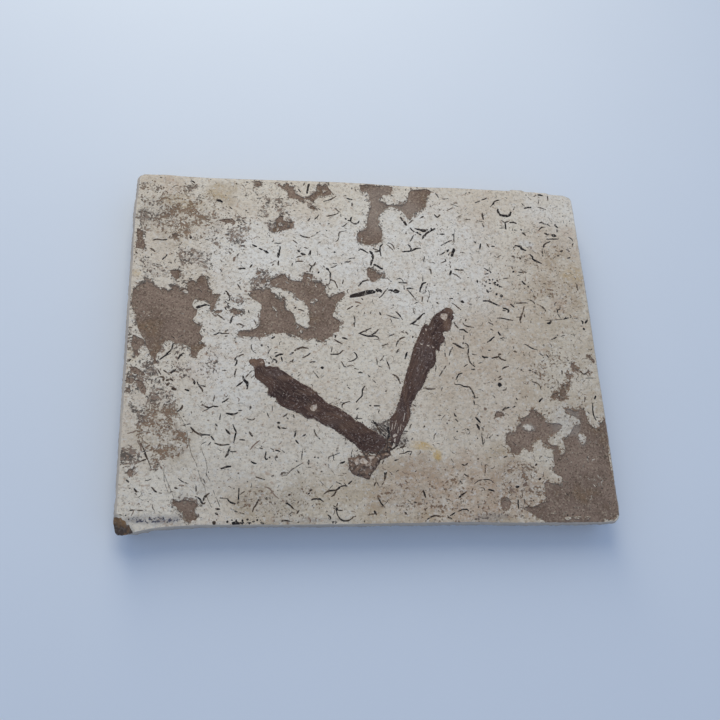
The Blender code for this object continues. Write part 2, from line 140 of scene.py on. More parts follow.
# Patches where the pale skin has flaked off and the brown bed shows.
LEFT_PATCH = (
    (-74.3, 16.2), (-73.2, 17.6), (-72.2, 18.2), (-70.9, 18.5), (-70.3, 19.8), (-69.9, 18.8), (-68.8, 18.9),
    (-68.2, 18), (-67.4, 17.2), (-66.6, 17.2), (-66.2, 16.4), (-65, 16.8), (-63.8, 16), (-62.6, 16.8),
    (-62.9, 17.6), (-61.8, 18), (-60.6, 17.6), (-60, 16.8), (-58.4, 17.1), (-57.9, 16.6), (-58.2, 18.8),
    (-57.2, 19.8), (-56.4, 20.1), (-55.3, 19.4), (-54.4, 21.2), (-53.6, 21.9), (-52.4, 21.6), (-51.9, 20.2),
    (-51.6, 19), (-51.2, 17.4), (-50.6, 17.1), (-50, 16.5), (-50, 15.3), (-49, 15.4), (-47.6, 15.3),
    (-48, 14.2), (-48.5, 13.2), (-49, 12), (-49.1, 10.8), (-49.8, 9.6), (-50.6, 9.6), (-50.4, 10.6),
    (-50.8, 11.6), (-51.4, 12), (-51.4, 13), (-52.6, 12.8), (-54.2, 12.8), (-55.2, 13.4), (-56, 12.4),
    (-56.2, 11), (-55.4, 10), (-54.4, 9.8), (-54.6, 8.6), (-55, 7.4), (-55.6, 6.6), (-55.4, 5.4),
    (-54.4, 4.8), (-53.3, 4.2), (-53.1, 3.2), (-53.5, 1.8), (-52.9, 0.4), (-52.8, -0.6), (-53.6, -1.4),
    (-52.2, -1.9), (-51.8, -2.8), (-52.6, -3.6), (-53.4, -4.2), (-53.8, -5.2), (-54.4, -6.6), (-55.3, -6.9),
    (-55.9, -5.8), (-56, -4.4), (-56.2, -3.2), (-57.4, -2.8), (-58.4, -2.2), (-59.6, -1.8), (-61, -1.8),
    (-62.2, -1.1), (-63.6, -1.2), (-64.8, -2.6), (-65, -4), (-65.8, -5.2), (-66.6, -6.8), (-65.7, -8.8),
    (-66.6, -8.8), (-67.2, -7.2), (-68, -6), (-68.6, -4.4), (-69.6, -2.6), (-69.8, -1.2), (-71, 0.2),
    (-71.6, 1.8), (-72.4, 3.2), (-72.8, 5.6), (-72.9, 7.4), (-73.8, 8.2), (-74.4, 10), (-74.7, 12.4),
    (-74.7, 14.6),
)
LEFT_SPUR = (
    (-73.4, 0.6), (-72.2, 0), (-70.4, -0.8), (-69.9, -2.2), (-71.2, -3.2), (-71.8, -4.6), (-71.4, -6),
    (-72.4, -6.4), (-73, -4.8), (-73.8, -3), (-73.9, -1.6),
)
MIDDLE_PATCH = (
    (-42, 1.6), (-41, 1), (-39.6, 0.8), (-37, 0.8), (-34.2, 0.8), (-32.6, 1.6), (-31.2, 2), (-29, 2.2),
    (-27, 2.4), (-25.6, 2), (-24.2, 1.6), (-22.6, 0.8), (-21, 0.2), (-20.2, -0.1), (-19.2, 0.6),
    (-18.2, 0.8), (-16.2, 0.2), (-15, -0.4), (-14.2, 0.6), (-13.2, 1.2), (-12.2, 1.4), (-12, 2.4), (-11, 3),
    (-10, 3), (-10, 4.4), (-9.8, 5.2), (-9.2, 6), (-9.6, 7), (-10.8, 7.8), (-11.8, 8.4), (-11.9, 9.6),
    (-11.2, 10.2), (-10.9, 11.6), (-10.6, 13), (-10, 14), (-8.8, 14.8), (-8.2, 16), (-7.8, 16.8),
    (-8.6, 17.4), (-10, 16.8), (-11.4, 16.2), (-12.2, 15.6), (-13.2, 15.4), (-13.9, 17), (-14.2, 18.4),
    (-13.8, 19.6), (-15, 19.8), (-15.4, 20.8), (-17.4, 20.4), (-18.4, 21.4), (-18, 23.4), (-19.6, 24),
    (-20.6, 23.9), (-21.2, 23), (-21.4, 21), (-23, 20.8), (-24.4, 21), (-26, 21.4), (-27, 23.2),
    (-28.4, 23), (-30.2, 21.8), (-31.8, 20.8), (-31.8, 19.5), (-31, 18.6), (-29.8, 18.4), (-28.4, 18),
    (-27.2, 17.2), (-24.8, 17), (-23.7, 16.4), (-23.6, 14.8), (-22.2, 14.4), (-21, 13.8), (-20.4, 12.4),
    (-19.6, 11.6), (-19.2, 10.6), (-19.6, 8.8), (-19.2, 7.2), (-19.6, 5.6), (-18.8, 4.6), (-20.4, 4),
    (-21.4, 4.4), (-22.2, 5), (-23.4, 4.2), (-23.7, 5.6), (-23.9, 7.8), (-24.6, 9.2), (-25.4, 10),
    (-26.6, 10.1), (-27.2, 10.6), (-27.4, 12.4), (-27.2, 14.6), (-27.8, 14.8), (-28.4, 13.9), (-30.2, 14.8),
    (-30.2, 15.8), (-31.6, 16.8), (-31.8, 18), (-33.4, 18.2), (-34, 16.8), (-35.2, 17.6), (-37.2, 17),
    (-38.2, 15.4), (-37.2, 13.8), (-35.8, 13), (-34.6, 12), (-34.4, 10.8), (-34.9, 9.8), (-35, 6.8),
    (-34.9, 5.4), (-35.8, 4), (-37.4, 3), (-38.4, 2.4), (-39.2, 2.8), (-41.2, 2.8),
)
FAR_PATCH = (
    (-0.9, 58.9), (0.2, 58.8), (2, 58.9), (4.4, 58.8), (7, 58.9), (9.6, 58.9), (10.4, 58.4), (10, 57),
    (9.4, 55.8), (8.2, 55.4), (6.8, 55.2), (6, 54.4), (5.1, 53.2), (5.4, 52.7), (7, 52.2), (7.8, 51.2),
    (8.6, 51.2), (9.6, 51.6), (11.2, 51.2), (12.4, 51.4), (13.4, 51.6), (14.8, 52.6), (15.4, 53.8),
    (15.7, 55.2), (15.7, 56.4), (16.6, 57.6), (18, 57.9), (19.8, 58), (21.4, 58.4), (22.4, 58.5),
    (23.4, 58), (24, 57.4), (23.6, 56.4), (22.6, 55.8), (22, 54.6), (21.8, 53), (21.5, 51.4), (21, 50.6),
    (19.2, 49.6), (17.2, 48.4), (16.4, 47.2), (15.8, 45.9), (15.2, 45.9), (14.4, 47.2), (13.4, 48.6),
    (12, 49.8), (10.6, 50.4), (9.4, 50.6), (8.4, 50.5), (7.6, 49.8), (6.8, 48.6), (5.6, 47.8), (4.8, 46.4),
    (4.3, 45), (4.6, 43.4), (5, 42.2), (5.6, 41.6), (5.9, 40), (5.6, 38.2), (5.2, 36.8), (4.4, 36.2),
    (2.6, 35.8), (1.4, 35.2), (0.2, 35.1), (-1, 35.8), (-2.2, 36.2), (-2.9, 36.8), (-2.4, 38), (-2.9, 39.4),
    (-2, 40.4), (-1, 40.8), (0.4, 41), (0.7, 42.4), (0.8, 44.4), (1.2, 46.4), (1.9, 48.4), (2.4, 50),
    (2.7, 51), (2.3, 52.6), (1.8, 54), (1.8, 55.4), (1.2, 56.3), (0.2, 56.5), (-0.9, 56.5), (-1, 57.6),
)
RIGHT_PATCH = (
    (46.8, -25.4), (48.4, -24.8), (49.6, -24.2), (50.8, -22.4), (52, -22.4), (52.8, -23.6), (53.8, -24.2),
    (54.6, -25.4), (54.8, -26.4), (56.6, -26.9), (58, -26.9), (59.4, -27), (60.4, -27.4), (59.9, -28.6),
    (58.8, -29.6), (58, -30.2), (57, -30.5), (55.6, -31), (54.9, -31.8), (54.8, -33), (55.6, -34),
    (56.6, -34.2), (57.8, -34.2), (58, -35.6), (58.2, -37), (59, -37.6), (60, -36.6), (60.3, -35),
    (60, -33.4), (60.2, -32.2), (61.4, -31.2), (62.4, -30.6), (63.2, -29.2), (64.2, -27.8), (65.2, -27.4),
    (66.6, -27.2), (66.4, -26), (65.4, -25), (63.8, -24.2), (62.6, -23.2), (62.2, -22), (63.8, -22.2),
    (65.2, -23), (66.4, -22.6), (67.2, -21.6), (68.2, -21.9), (68.4, -23.2), (69, -24.6), (69, -26.2),
    (69.6, -27.4), (70.8, -28.2), (72.4, -28.7), (73, -28), (72.4, -26.8), (73.6, -26.4), (74.4, -25.6),
    (78, -25), (78, -33.5), (74.3, -34.5), (74.2, -46), (78, -47), (78, -55), (74.2, -55.6), (73.4, -57.3),
    (71.6, -57.8), (69.6, -57.6), (68.4, -61.5), (51.4, -61.5), (50.4, -57.8), (48.8, -57.2), (47.6, -56),
    (46.2, -55.2), (44.4, -54.2), (45.6, -53.4), (47, -53.6), (49, -53.2), (50.2, -52.2), (51.6, -52),
    (52.2, -50.6), (52.1, -49), (51.9, -47.4), (52, -46.2), (53, -45.7), (54, -46.2), (55.4, -46.3),
    (56.8, -46.6), (57.8, -46.2), (58.2, -45), (57.6, -44.2), (56.2, -43.4), (55.6, -43.2), (55.2, -41.6),
    (56.2, -40.6), (55.9, -39), (56.4, -37.2), (56.2, -35.8), (55, -34.6), (53.8, -33.8), (52.9, -32.6),
    (51.6, -31.4), (51.2, -32.6), (50.2, -33.6), (49.4, -34.6), (49.2, -35.8), (48.2, -36), (47, -35.2),
    (46, -35.4), (45.4, -36.8), (43.8, -37), (42.4, -36.6), (42.6, -35.4), (42, -34.4), (41, -33.6),
    (41.3, -32), (41.8, -30.4), (42.6, -29.9), (44, -30.2), (45, -29.6), (45.4, -28.2), (46.6, -27),
)
NEAR_PATCH = (
    (-59.4, -50.4), (-58.6, -51), (-57.4, -51.2), (-56.6, -50.8), (-55.4, -50.9), (-54.4, -51.2),
    (-53.2, -51.2), (-52.4, -52.4), (-53.2, -53.2), (-53, -54.4), (-52.4, -55.6), (-52.8, -56.8),
    (-53.6, -56.6), (-54.4, -57.2), (-55.6, -57), (-56.4, -56), (-56.6, -54.6), (-57.6, -53.8),
    (-58.4, -52.8), (-59.4, -51.9),
)
WEDGE_PATCH = (
    (0.1, 26.6), (0.8, 26.8), (1.8, 26.2), (2.8, 25.6), (3.2, 24.9), (4.2, 24.4), (4.9, 24.2), (5, 23.6),
    (4, 22.9), (3.2, 22.2), (2.4, 21.4), (1.6, 21.3), (0.8, 21.8), (0.8, 22.8), (0.1, 23.2), (0, 25),
)
RIGHT_SPUR = (
    (58.1, -17.6), (58.6, -17), (59.6, -16.6), (60.8, -16.4), (61.6, -15.4), (61.9, -14.4), (62.4, -13.8),
    (63.6, -13.9), (64.2, -13.2), (64.8, -12.2), (65.1, -12.8), (64.8, -13.8), (64.2, -15), (63.5, -15),
    (63.2, -16), (63, -17), (62.6, -18.3), (62, -19.2), (61, -19.4), (60.2, -19), (59.7, -18.4),
    (58.4, -18.6),
)
TOP_PATCH_A = (
    (-16, 58), (-15.1, 58.1), (-14, 57.6), (-13.6, 58.4), (-12.5, 58.4), (-12.1, 57.2), (-11.3, 56.1),
    (-10.9, 55.3), (-11.2, 54.4), (-12.7, 53.9), (-15.3, 53.7), (-16.5, 53), (-16.8, 52.1), (-17.1, 51.2),
    (-18.7, 52.1), (-20, 52.2), (-20.2, 52.8), (-18.7, 53), (-18, 54), (-16.8, 54.6), (-16.1, 55.5),
    (-16.1, 57),
)
TOP_PATCH_B = (
    (-29.3, 57.6), (-28.9, 57.8), (-27.8, 57), (-27, 57), (-26.4, 58.1), (-25.7, 58), (-25.5, 57),
    (-23.8, 57), (-23.6, 56.4), (-24.2, 56), (-23.5, 55.3), (-23.4, 54.2), (-22.3, 53.7), (-21.2, 52.8),
    (-20.7, 52.6), (-20.6, 50.8), (-21, 51.6), (-21.9, 51.4), (-22.9, 52.1), (-24.2, 52.1), (-25.3, 52.3),
    (-25.8, 53.1), (-25.9, 55.1), (-27, 55.5), (-28.1, 55.9), (-28.5, 56.8), (-29.3, 56.8),
)
TOP_PATCH_C = (
    (-31, 39), (-29.4, 38.8), (-28.4, 39.6), (-26.6, 39.8), (-25, 40.4), (-24.2, 41.4), (-24.4, 42.8),
    (-25.5, 42.9), (-27.5, 43.4), (-27.4, 45.2), (-28.6, 45), (-30, 43.6), (-29.8, 42.2), (-29.6, 40.8),
    (-30.8, 40.4),
)
SMALL_PATCHES = (
    ((38, -51), (39.4, -50.6), (40.6, -51.2), (40.8, -52.4), (40, -54.2), (38, -54.2), (37.6, -52.6)),
    ((38.6, -24), (39.2, -23.3), (40.3, -23.2), (41.2, -23.8), (40.9, -24.7), (39.6, -25.1), (38.7, -24.8)),
    ((-18.4, 49.6), (-17.6, 49.4), (-16.3, 48.5), (-16.4, 48.1), (-17.6, 48.2), (-18.5, 48.9)),
    ((-37.2, 58.2), (-35.6, 58.5), (-35, 57.6), (-35, 56.6), (-36.5, 56.2)),
    ((-44.4, 9.5), (-43.4, 10.4), (-42.4, 10.4), (-41.4, 10), (-40.6, 9.4), (-41.4, 8.4), (-43.4, 8.5)),
    ((-49.4, 9), (-48.4, 9.7), (-47.2, 9.6), (-46.7, 9.2), (-47.6, 8.6), (-48.8, 8.6)),
    ((-35.1, 20.3), (-33.9, 21.4), (-33.1, 21.2), (-33, 19.8), (-34.2, 19.5)),
    ((-36.4, 23.2), (-35.6, 24.2), (-34.8, 23.6), (-35, 22.8), (-36, 22.6)),
    ((-72.9, -42.8), (-71.9, -41.5), (-71, -41.7), (-71.1, -44), (-71.9, -43.8)),
    ((72.1, -3.4), (73.2, -3.1), (73.8, -4.4), (74.6, -5), (74.4, -6), (73.6, -5.6), (72.8, -4.6)),
    ((66, -6.2), (67, -6.2), (67.4, -8), (68.9, -8.6), (68.2, -9.2), (66.8, -8.8), (65.9, -7.4)),
    ((64, -10.2), (65, -9.8), (66, -10.2), (65.8, -11), (64.4, -11.1)),
    ((71, -9.6), (71.4, -9), (71.9, -8.4), (72.2, -9.2), (71.8, -9.9)),
    ((-63.8, 23.2), (-61.2, 23.6), (-60, 23), (-60.6, 22), (-60.4, 20.6), (-61.4, 20), (-62.6, 21.2)),
    ((-74.6, 38), (-72.8, 37.4), (-72.4, 34), (-71.6, 32), (-72.2, 30.6), (-74.6, 30.8), (-74.2, 34)),
    ((-74, -10), (-72.2, -10), (-69.6, -11.8), (-69.2, -12.8), (-71.4, -12.4), (-73.4, -11.6)),
    ((-74.6, -13.2), (-73, -13), (-72.2, -14.4), (-73.2, -15.6), (-74.6, -15.2)),
    ((-71.6, -14.2), (-70.2, -14.4), (-68.6, -17), (-68.8, -19), (-70.2, -18), (-71, -16.2)),
    ((-74.6, -16.6), (-73.4, -16.8), (-73, -18.2), (-74.4, -18.2)),
    ((-63.4, 36.6), (-62.4, 36.9), (-61.2, 36), (-62.6, 34.9), (-63.2, 35.6)),
    ((-45.6, 43.2), (-44.4, 43.4), (-43.2, 42.2), (-43.4, 41), (-45, 41.4), (-46.8, 41.6), (-48.8, 42.4),
     (-47.4, 43)),
)
PATCHES = (
    LEFT_PATCH, LEFT_SPUR, MIDDLE_PATCH, FAR_PATCH, RIGHT_PATCH, NEAR_PATCH, WEDGE_PATCH, RIGHT_SPUR,
    TOP_PATCH_A, TOP_PATCH_B, TOP_PATCH_C, *SMALL_PATCHES,
)
ISLANDS = (                       # scraps of pale skin left standing inside the patches
    ((-59.5, 16.3), (-58.6, 16.6), (-57.5, 15.9), (-57.6, 15.2), (-58.6, 15.4)),
    ((-19, 14.4), (-17.6, 14.8), (-16.3, 14.2), (-17.8, 12.9), (-19, 13)),
    ((-22.6, 3), (-22, 3.6), (-21.4, 3.2), (-21.6, 2.5), (-22.3, 2.4)),
    ((-31.2, 11.5), (-30.4, 11.3), (-29.5, 9.8), (-30, 9.8)),
    ((-14.2, 56.8), (-13.2, 56.8), (-13, 55.4), (-14.1, 54.9)),
    ((47, -27.6), (48.6, -27.2), (50.4, -27.8), (50.8, -28.8), (49.6, -29.4), (48, -29.4), (47.2, -28.6)),
    ((65.2, -30.6), (66, -29.8), (67, -30.2), (67.8, -31.4), (67.4, -32.8), (66.4, -34.2), (65.6, -33.4),
     (65.1, -32)),
    ((-29.2, 42.2), (-28.2, 42.6), (-27.4, 42), (-28, 41.2), (-29, 41.3)),
    ((-26.2, 41.6), (-25.4, 41.6), (-25.4, 40.9), (-26.1, 40.8)),
    ((57, -57), (58.4, -56.5), (59.3, -57), (58.8, -57.6), (57.3, -57.6)),
    ((60, -56.8), (61.2, -56.3), (62.3, -56.6), (62, -57.3), (60.6, -57.4)),
    ((63.2, -56.9), (64.6, -56.6), (65.3, -57.1), (64.2, -57.7), (63.3, -57.5)),
    ((60.3, -17.2), (60.9, -17), (60.9, -17.6), (60.3, -17.7)),
)

# The wings, each by its two long edges from the tip to the foot, and the body.
LEFT_WING = (
    ((-38.3, -7.8), (-38, -7), (-36.6, -6.6), (-36, -7), (-35.6, -6.8), (-34.6, -6.5), (-33.7, -6.9),
     (-33.4, -8.4), (-33.2, -9.2), (-31.8, -9), (-31, -9.3), (-29.3, -9.2), (-28.7, -9.9), (-27, -11.1),
     (-25, -12.6), (-23.5, -13.7), (-22, -14.7), (-20, -15.6), (-18.8, -16.6), (-17.3, -17.4),
     (-17.2, -18.3), (-16, -19.2), (-15, -20.3), (-13.8, -21.3), (-11.5, -22), (-8.4, -24.2),
     (-7, -25.2), (-5.8, -26.6), (-4, -27.2), (-2.5, -28.4), (-1, -29.4), (0.4, -30), (1.5, -30.9),
     (2.6, -31.6), (3.4, -32.6)),
    ((-37.8, -8.6), (-37.1, -9.2), (-36.6, -10), (-36.5, -12.7), (-35.8, -13.5), (-34.8, -14.2),
     (-33.6, -15.2), (-32.7, -16), (-32.3, -16.9), (-32.8, -17.5), (-32.4, -18.6), (-31.5, -19),
     (-30, -19.6), (-29.9, -20.9), (-28.6, -21.9), (-27, -22.8), (-25.2, -23.5), (-23.5, -24.2),
     (-22, -25), (-20.5, -26.2), (-18.8, -26), (-16.8, -27.2), (-15, -28.4), (-13.4, -28.9),
     (-12, -29.6), (-11.4, -30.5), (-10, -31.2), (-8.7, -32.3), (-7.4, -33.4), (-6.2, -34),
     (-5.7, -34.8), (-4.9, -35.8), (-3.6, -36.2), (-1.6, -36.6), (0, -36.7), (2.2, -35.8), (3, -34.8),
     (3.4, -33.8)),
)
RIGHT_WING = (
    ((25.6, 12.7), (24.6, 12), (23.8, 11.3), (22.8, 10.7), (21.6, 9.8), (20.6, 8.6), (20, 7.2),
     (19.4, 6.2), (18.9, 6), (18.2, 6.7), (17.6, 6), (17, 5), (16.4, 3.6), (15.8, 2.2), (15.1, 0.9),
     (14.5, -0.4), (13.9, -1.8), (13.3, -3.6), (12.8, -5.2), (12.3, -7), (11.6, -8.7), (11.1, -10.6),
     (10.5, -12.2), (10, -13.8), (9.6, -15.2), (9.2, -16.6), (8.7, -18.2), (8.2, -19.8), (7.6, -21.2),
     (7.1, -22.8), (6.5, -24), (5.6, -25), (4.9, -26), (4.7, -28.3), (4.8, -29.5), (4.8, -31.2),
     (4.9, -32), (4.8, -33.5)),
    ((26.8, 12.7), (27.8, 12), (28.1, 11.2), (27.7, 10.2), (28.2, 9.6), (27.9, 8.8), (27.2, 7.9),
     (27, 6.5), (26.6, 5), (25.8, 4.1), (24.6, 4.1), (23.8, 3.7), (23.9, 2.7), (24.5, 1.9), (24.3, 1),
     (24.7, 0.3), (23.4, -0.1), (22.9, -0.8), (22.4, -1.8), (22.3, -2.9), (21.4, -2.7), (21.1, -3.3),
     (21, -5), (20.9, -6.5), (20.4, -7.6), (19.8, -8.5), (19, -9.1), (18.4, -10), (17.8, -11),
     (17.3, -12.4), (16.8, -13.6), (16, -15), (15.4, -16), (14.6, -16.7), (13.8, -17.9),
     (13.2, -19.2), (12.4, -20.2), (11.9, -21.5), (11.4, -22.6), (11.6, -24), (11.3, -25.2),
     (10.8, -26.5), (10.1, -27.8), (9.3, -29.2), (8.6, -30.4), (8, -31.6), (7.5, -33), (6.9, -33.9)),
)
BODY_EDGE = (
    (-8.5, -38.4), (-7.2, -38.2), (-6.5, -38.4), (-5.9, -38), (-5.3, -37.5), (-4.2, -37.7), (-3.4, -37.6),
    (-1.8, -37.4), (0.2, -37.6), (1.5, -37.1), (2.6, -36.8), (4.3, -36.6), (4.7, -37.3), (4, -37.9),
    (2.8, -38.4), (1.4, -39), (0.9, -40.2), (0.2, -41), (-0.6, -42.2), (-1.4, -43), (-1.8, -43.8),
    (-2.3, -44.9), (-3, -44.9), (-4.2, -44.3), (-5.6, -44), (-7.4, -43.2), (-8, -42.2), (-8.4, -41),
    (-8.1, -40.2), (-8.4, -39.6),
)
BARE_SPOTS = {                    # matrix showing through each film: an outline for each spot
    "body": (
        ((-6.6, -38.9), (-5.6, -38.7), (-5.3, -39.4), (-5.5, -40.4), (-6.2, -40.6), (-6.6, -39.8)),
        ((-4.8, -38.9), (-4.2, -38.4), (-3.4, -38.6), (-2.8, -39.2), (-2.3, -39.7), (-2.8, -40.2),
         (-4, -40.3), (-4.9, -40)),
        ((-2.4, -38.1), (-1.9, -37.9), (-0.4, -37.9), (-0.5, -38.4), (-1.3, -38.8), (-2.1, -38.5)),
        ((2.8, -37.1), (3.4, -37), (4.1, -37.1), (3.6, -37.5), (2.9, -37.5)),
        ((-7.9, -40.4), (-7.4, -40.2), (-7.5, -40.9)),
    ),
    "left_wing": (
        ((-19.7, -22.6), (-19.2, -21.8), (-18.2, -21.6), (-17.6, -21.3), (-17.5, -21.9), (-17.7, -23),
         (-18.4, -23.7), (-19.4, -23.4)),
        ((-35.1, -8), (-34.4, -7.6), (-33.8, -7.9), (-34.4, -8.3)),
        ((-27.9, -18.1), (-27.6, -17.8), (-27.5, -18.2)),
    ),
    "right_wing": (
        ((23.8, 10.4), (25, 10.6), (26, 10.4), (25.9, 9.2), (25.2, 7.9), (24.2, 8.4), (23.5, 9.2)),
        ((18.2, 5), (18.7, 4.9), (18.6, 4), (18.2, 4.1)),
        ((17.2, 3.4), (17.7, 3.3), (17.4, 2.9)),
        ((20.5, 2.6), (21, 2.5), (20.8, 2.1)),
        ((16.2, -0.3), (17, -0.5), (16.8, -0.9), (16.1, -0.7)),
        ((18.2, -0.8), (19.2, -0.9), (19, -1.4), (18.3, -1.2)),
        ((20, -1.3), (20.8, -1.5), (20.6, -1.9), (19.9, -1.7)),
        ((6.8, -26.2), (7, -26.4), (6.6, -28), (6.1, -29.4), (5.9, -29.3), (6.4, -27.8)),
        ((5.6, -27.4), (5.8, -27.5), (5.4, -29.6), (5.2, -29.6)),
        ((8.2, -27.6), (8.4, -27.8), (8, -29.8), (7.8, -29.7)),
        ((7.4, -28.6), (7.6, -28.7), (7.2, -30.6), (7, -30.5)),
        ((9.6, -24), (9.8, -24.2), (9.2, -26.8), (9, -26.6)),
        ((5.8, -30.9), (6.6, -30.7), (7, -31.2), (6.4, -31.5), (5.8, -31.9), (5.5, -31.6)),
        ((5.8, -32.4), (6.4, -32.2), (6.2, -33.4), (5.9, -33.3)),
    ),
}

# Mottled parts of the face, each its strength and its outline; a negative one is a clear part.
MOTTLED_PARTS = (
    (0.73, ((-68.6, -6.7), (-64.9, -11), (-62.3, -14.7), (-60.1, -19), (-58.9, -24.7), (-57.3, -28.9),
            (-55.7, -33), (-55.6, -36), (-58.8, -38), (-62.5, -40), (-63.8, -42.5), (-65.7, -42.5),
            (-67.6, -38.1), (-70, -33), (-71.2, -29), (-70.9, -25.4), (-73.4, -23.8), (-74.5, -17.6),
            (-74.7, -11.2), (-72, -7.3))),
    (0.6, ((-74.2, -11.2), (-71.9, -9.5), (-69, -12.1), (-68.2, -18.5), (-70.3, -19.1), (-72.8, -17.5))),
    (0.85, ((-73.6, -23.8), (-69.1, -23), (-67.6, -24.3), (-71.4, -25.1))),
    (-1, ((-69.2, -31), (-65.8, -31), (-64.3, -33.5), (-65.6, -35.6), (-67.8, -34))),
    (-1, ((-72.4, -20.2), (-69.1, -19.9), (-68.9, -22.2), (-71.6, -22.5))),
    (0.64, ((-63.5, 35.9), (-54.4, 30.8), (-49.6, 30.3), (-49.9, 21.8), (-53.6, 21.7), (-58.1, 17.4),
            (-63.4, 20.7), (-63, 24.3), (-60.5, 25), (-62.2, 29.8), (-64.9, 30.3))),
    (0.5, ((-43.1, 57.5), (-32.5, 58.1), (-31.9, 54.8), (-24.1, 52.6), (-23.6, 40.3), (-31.3, 38),
           (-36.3, 39.1), (-36.3, 48.7), (-40.2, 51.7))),
    (0.52, ((-74.7, 55.7), (-54.1, 56.9), (-44, 45.1), (-42.8, 40), (-49.2, 36.6), (-56.6, 33.7),
            (-60.9, 36), (-73.5, 36.1), (-74.7, 46.7))),
)

# Soft zones on the face, by what they do: centre, half widths and strength of each.
ZONES = {
    "mottle": (
        (-64, 40.5, 15, 6, 0.7), (-70, 24.5, 6, 6, 0.6), (-45, 38, 9, 9, 0.6), (-29, 42.5, 5, 4, 0.9),
        (-35, 19.5, 5, 6, 0.85), (-72.5, -38.5, 2.8, 3.5, 0.9), (-74, -2, 2.5, 9, 0.7),
        (-28, -52, 13, 7, 0.4), (-43, 12, 5, 4, 0.55), (62, -10, 12, 9, 0.36), (62, 27, 14, 20, 0.25),
        (58, -25, 6, 4, 0.45), (45, -48, 9, 9, 0.5), (-54, -9, 10, 8, 0.45), (40, 0, 35, 58, 0.12),
        (24, -51, 30, 9, 0.36),
    ),
    "clear": (
        (-65, -15.5, 4, 3.5, 0.2), (-67.5, 33, 6, 3.5, 1), (-63.5, 18.6, 4, 1.6, 0.7),
    ),
    "tan": (
        (42, -44, 10, 12, 0.8), (-60.5, 47.5, 9, 5, 0.85), (-47, 54.5, 4.5, 4, 0.8), (-66, 50, 10, 9, 0.25),
        (-60, 40, 12, 6, 0.4), (64, -8, 25, 46, 0.5), (25, -51, 45, 14, 0.8), (-25, -52, 20, 10, 0.7),
        (67, 24, 10, 14, 0.7), (9, -49.5, 9, 4, 1), (-48, 53, 5, 5, 0.5), (30, -10, 14, 30, 0.35),
        (-63, -32, 10, 10, 0.5), (40, -50, 14, 9, 0.7),
    ),
    "rose": (
        (36, 8, 20, 46, 0.16), (66, 30, 10, 20, 0.15), (28, -48, 30, 11, 0.45), (-52, -10, 8, 6, 0.25),
        (45.8, 14.6, 2.8, 1.6, 0.6), (65, 15, 3.5, 3, 0.4), (72.5, 43.5, 2.5, 2.5, 0.3),
        (-65, 55, 3.5, 4, 0.35),
    ),
    "stain": (
        (13.8, -34.6, 3, 1.5, 1), (19, -37, 1.3, 2, 0.9), (16.5, -34.8, 2, 1, 0.5), (71, 27, 4.5, 4, 0.3),
        (-74, 21.5, 1.5, 1.2, 0.5), (-60.5, 47.5, 7.5, 3.5, 0.15), (-48, 54, 3, 3, 0.2),
        (-73.6, -6, 2, 3, 0.3),
    ),
    "white": (
        (-20, 31, 36, 14, 0.8), (-43, -4, 13, 22, 0.65), (-45, 24, 8, 8, 0.6), (20, 30, 24, 26, 0.75),
        (66, 52, 12, 8, 0.6),
    ),
    "pale": (
        (62, -27.5, 5.5, 4.5, 0.4), (56, 38.5, 2.8, 1.4, 0.6), (49, -28.4, 2.2, 1.3, 0.4),
        (66.4, -32, 1.6, 2.4, 0.4), (8, 49, 13, 10, 0.22),
    ),
    "slate": (
        (-64, -56.2, 9, 1.5, 0.78), (34, -56.6, 6, 1.3, 0.35), (-65.5, 33.8, 4, 3, 0.12),
        (-20, -57, 12, 0.8, 0.5), (-38, -33, 30, 20, 0.12),
    ),
    "soil": (
        (-68.5, 45, 8, 6, 0.4), (10, -50, 12, 5, 0.25), (34, -56.6, 7, 1.5, 0.5), (-29, -52, 10, 5, 0.35),
        (-46, -45, 9, 6, 0.15), (61, -27, 8, 6, 0.18), (42, -47, 8, 8, 0.3), (3.5, -31, 5.5, 5, 0.8),
        (0, -27, 2.5, 2, 0.5), (7.5, -32.5, 4, 3.5, 0.7), (-3.5, -41, 6, 4.6, 0.35),
        (9.5, -22, 3.5, 6, 0.35), (-8, -33, 5, 2.6, 0.35), (12, -41, 10, 3.5, 0.22), (-56, -53, 4, 4, 0.5),
        (-60, 4, 6, 3, 0.4),
    ),
}
